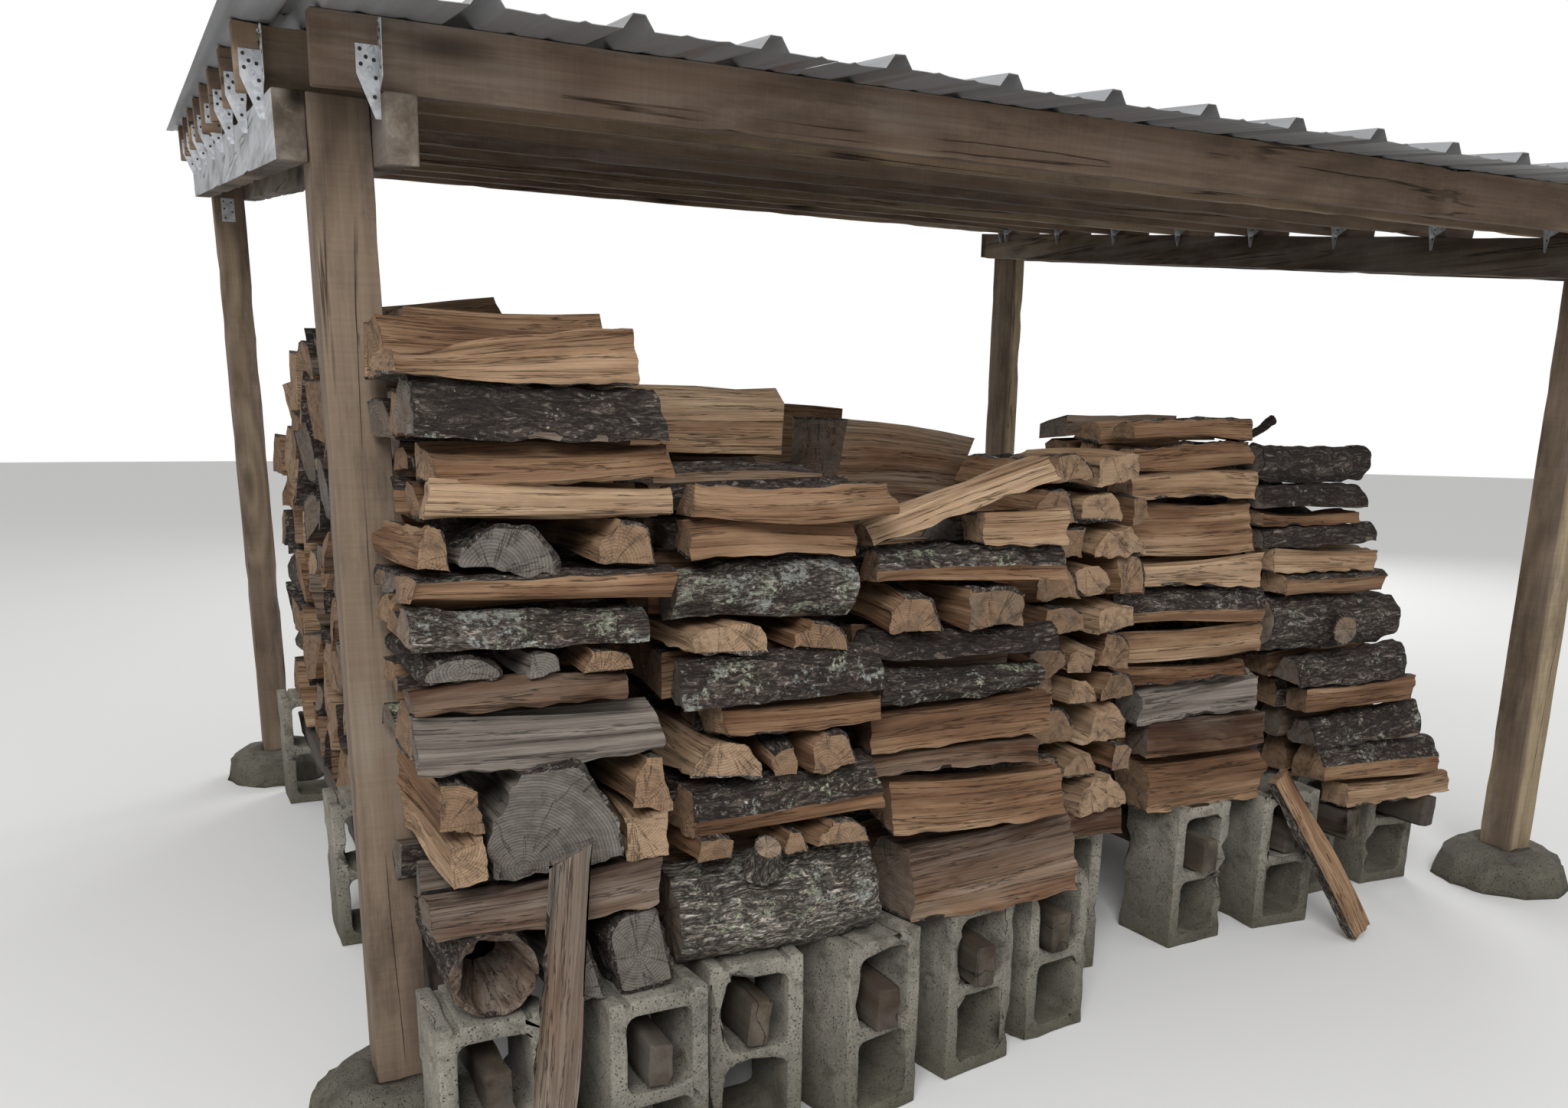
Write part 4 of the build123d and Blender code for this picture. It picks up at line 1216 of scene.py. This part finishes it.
class ConcreteOperator(bpy.types.Operator):
    """Dress the blocks and the post footings"""

    bl_idname = "log_store.concrete"
    bl_label = "Blocks and footings"

    def execute(self, context):
        colours = context.scene.log_store_frame
        blocks = make_concrete("block concrete", colours.concrete, colours.concrete_pale, 0.75)
        lumps = make_concrete("footing concrete", toned(colours.concrete, 0.62),
                              toned(colours.concrete_pale, 0.72), 0.6)
        for seed, node in enumerate(("blocks_front", "blocks_middle", "blocks_rear"), 31):
            make_blocks(node, seed, blocks)
        for seed, corner in enumerate(CORNERS, 41):
            make_footing(f"footing_{corner}", seed, lumps)
        return {"FINISHED"}


class SteelOperator(bpy.types.Operator):
    """Dress the ribbed roof sheets and the ties"""

    bl_idname = "log_store.steel"
    bl_label = "Roof and ties"

    def execute(self, context):
        roofing = make_roof_steel()
        for number in range(1, SHEETS + 1):
            make_roof_sheet(f"roof_sheet_{number}", number, roofing)
        zinc = make_galvanized()
        holes = make_open_holes()
        for side in ("left", "right"):
            make_ties(f"ties_{side}", zinc, holes)
        return {"FINISHED"}


class RunnersOperator(bpy.types.Operator):
    """Dress the timber runners through the blocks"""

    bl_idname = "log_store.runners"
    bl_label = "Runners"

    def execute(self, context):
        colours = context.scene.log_store_frame
        # The runners' colours are the beams' darkened further: partly weathered wood, partly painted shade
        # of the runners lying inside the blocks' cores
        timber = make_sawn_timber("runner timber", 1, toned(colours.beam_dark, 0.4),
                                  toned(colours.beam, 0.55), toned(colours.grey, 0.3), 70.0, 0.35)
        make_runners(51, timber)
        return {"FINISHED"}


class FirewoodOperator(bpy.types.Operator):
    """Dress every log of the stacks and rows"""

    bl_idname = "log_store.firewood"
    bl_label = "Firewood"

    def execute(self, context):
        colours = context.scene.log_store_wood
        materials = [make_split_face(colours), make_bark(colours), make_log_end(colours)]
        for number, looks in STACK_LOOKS.items():
            dress_firewood(f"front_stack_{number}", number, looks, materials)
        for number in range(1, ROWS + 1):
            dress_firewood(f"firewood_row_{number}", number + 10, (), materials)
        dress_firewood("loose_logs", 17, LOOSE_LOOKS, materials)
        return {"FINISHED"}


class StageOperator(bpy.types.Operator):
    """Make the floor, the light and the camera"""

    bl_idname = "log_store.stage"
    bl_label = "Stage"

    def execute(self, context):
        settings = context.scene.log_store_stage
        context.scene.view_settings.view_transform = "Standard"
        make_floor(settings.floor)
        make_sky(settings.sky)
        for name, place, size, share in LAMPS:
            make_lamp(name, place, size, settings.key * share)
        make_camera()
        return {"FINISHED"}


OPERATORS = (PostsOperator, BeamsOperator, JoistsOperator, ConcreteOperator, SteelOperator, RunnersOperator,
             FirewoodOperator, StageOperator)
GROUPS = (("log_store_wood", FirewoodColours), ("log_store_frame", FrameColours),
          ("log_store_stage", StageSettings))


class LogStorePanel(bpy.types.Panel):
    """The log store's pieces and settings"""

    bl_idname = "VIEW3D_PT_log_store"
    bl_label = "Log Store"
    bl_space_type = "VIEW_3D"
    bl_region_type = "UI"
    bl_category = "Log Store"

    def draw(self, context):
        for name, group in GROUPS:
            settings = getattr(context.scene, name)
            for field in group.__annotations__:
                self.layout.prop(settings, field)
        for operator in OPERATORS:
            self.layout.operator(operator.bl_idname)


def register():
    for name, group in GROUPS:
        bpy.utils.register_class(group)
        setattr(bpy.types.Scene, name, bpy.props.PointerProperty(type=group))
    for made in (*OPERATORS, LogStorePanel):
        bpy.utils.register_class(made)


def unregister():
    for made in reversed((*OPERATORS, LogStorePanel)):
        bpy.utils.unregister_class(made)
    for name, group in reversed(GROUPS):
        delattr(bpy.types.Scene, name)
        bpy.utils.unregister_class(group)


def main():
    register()
    for operator in OPERATORS:
        area, name = operator.bl_idname.split(".")
        getattr(getattr(bpy.ops, area), name)()


if __name__ == "__main__":
    main()
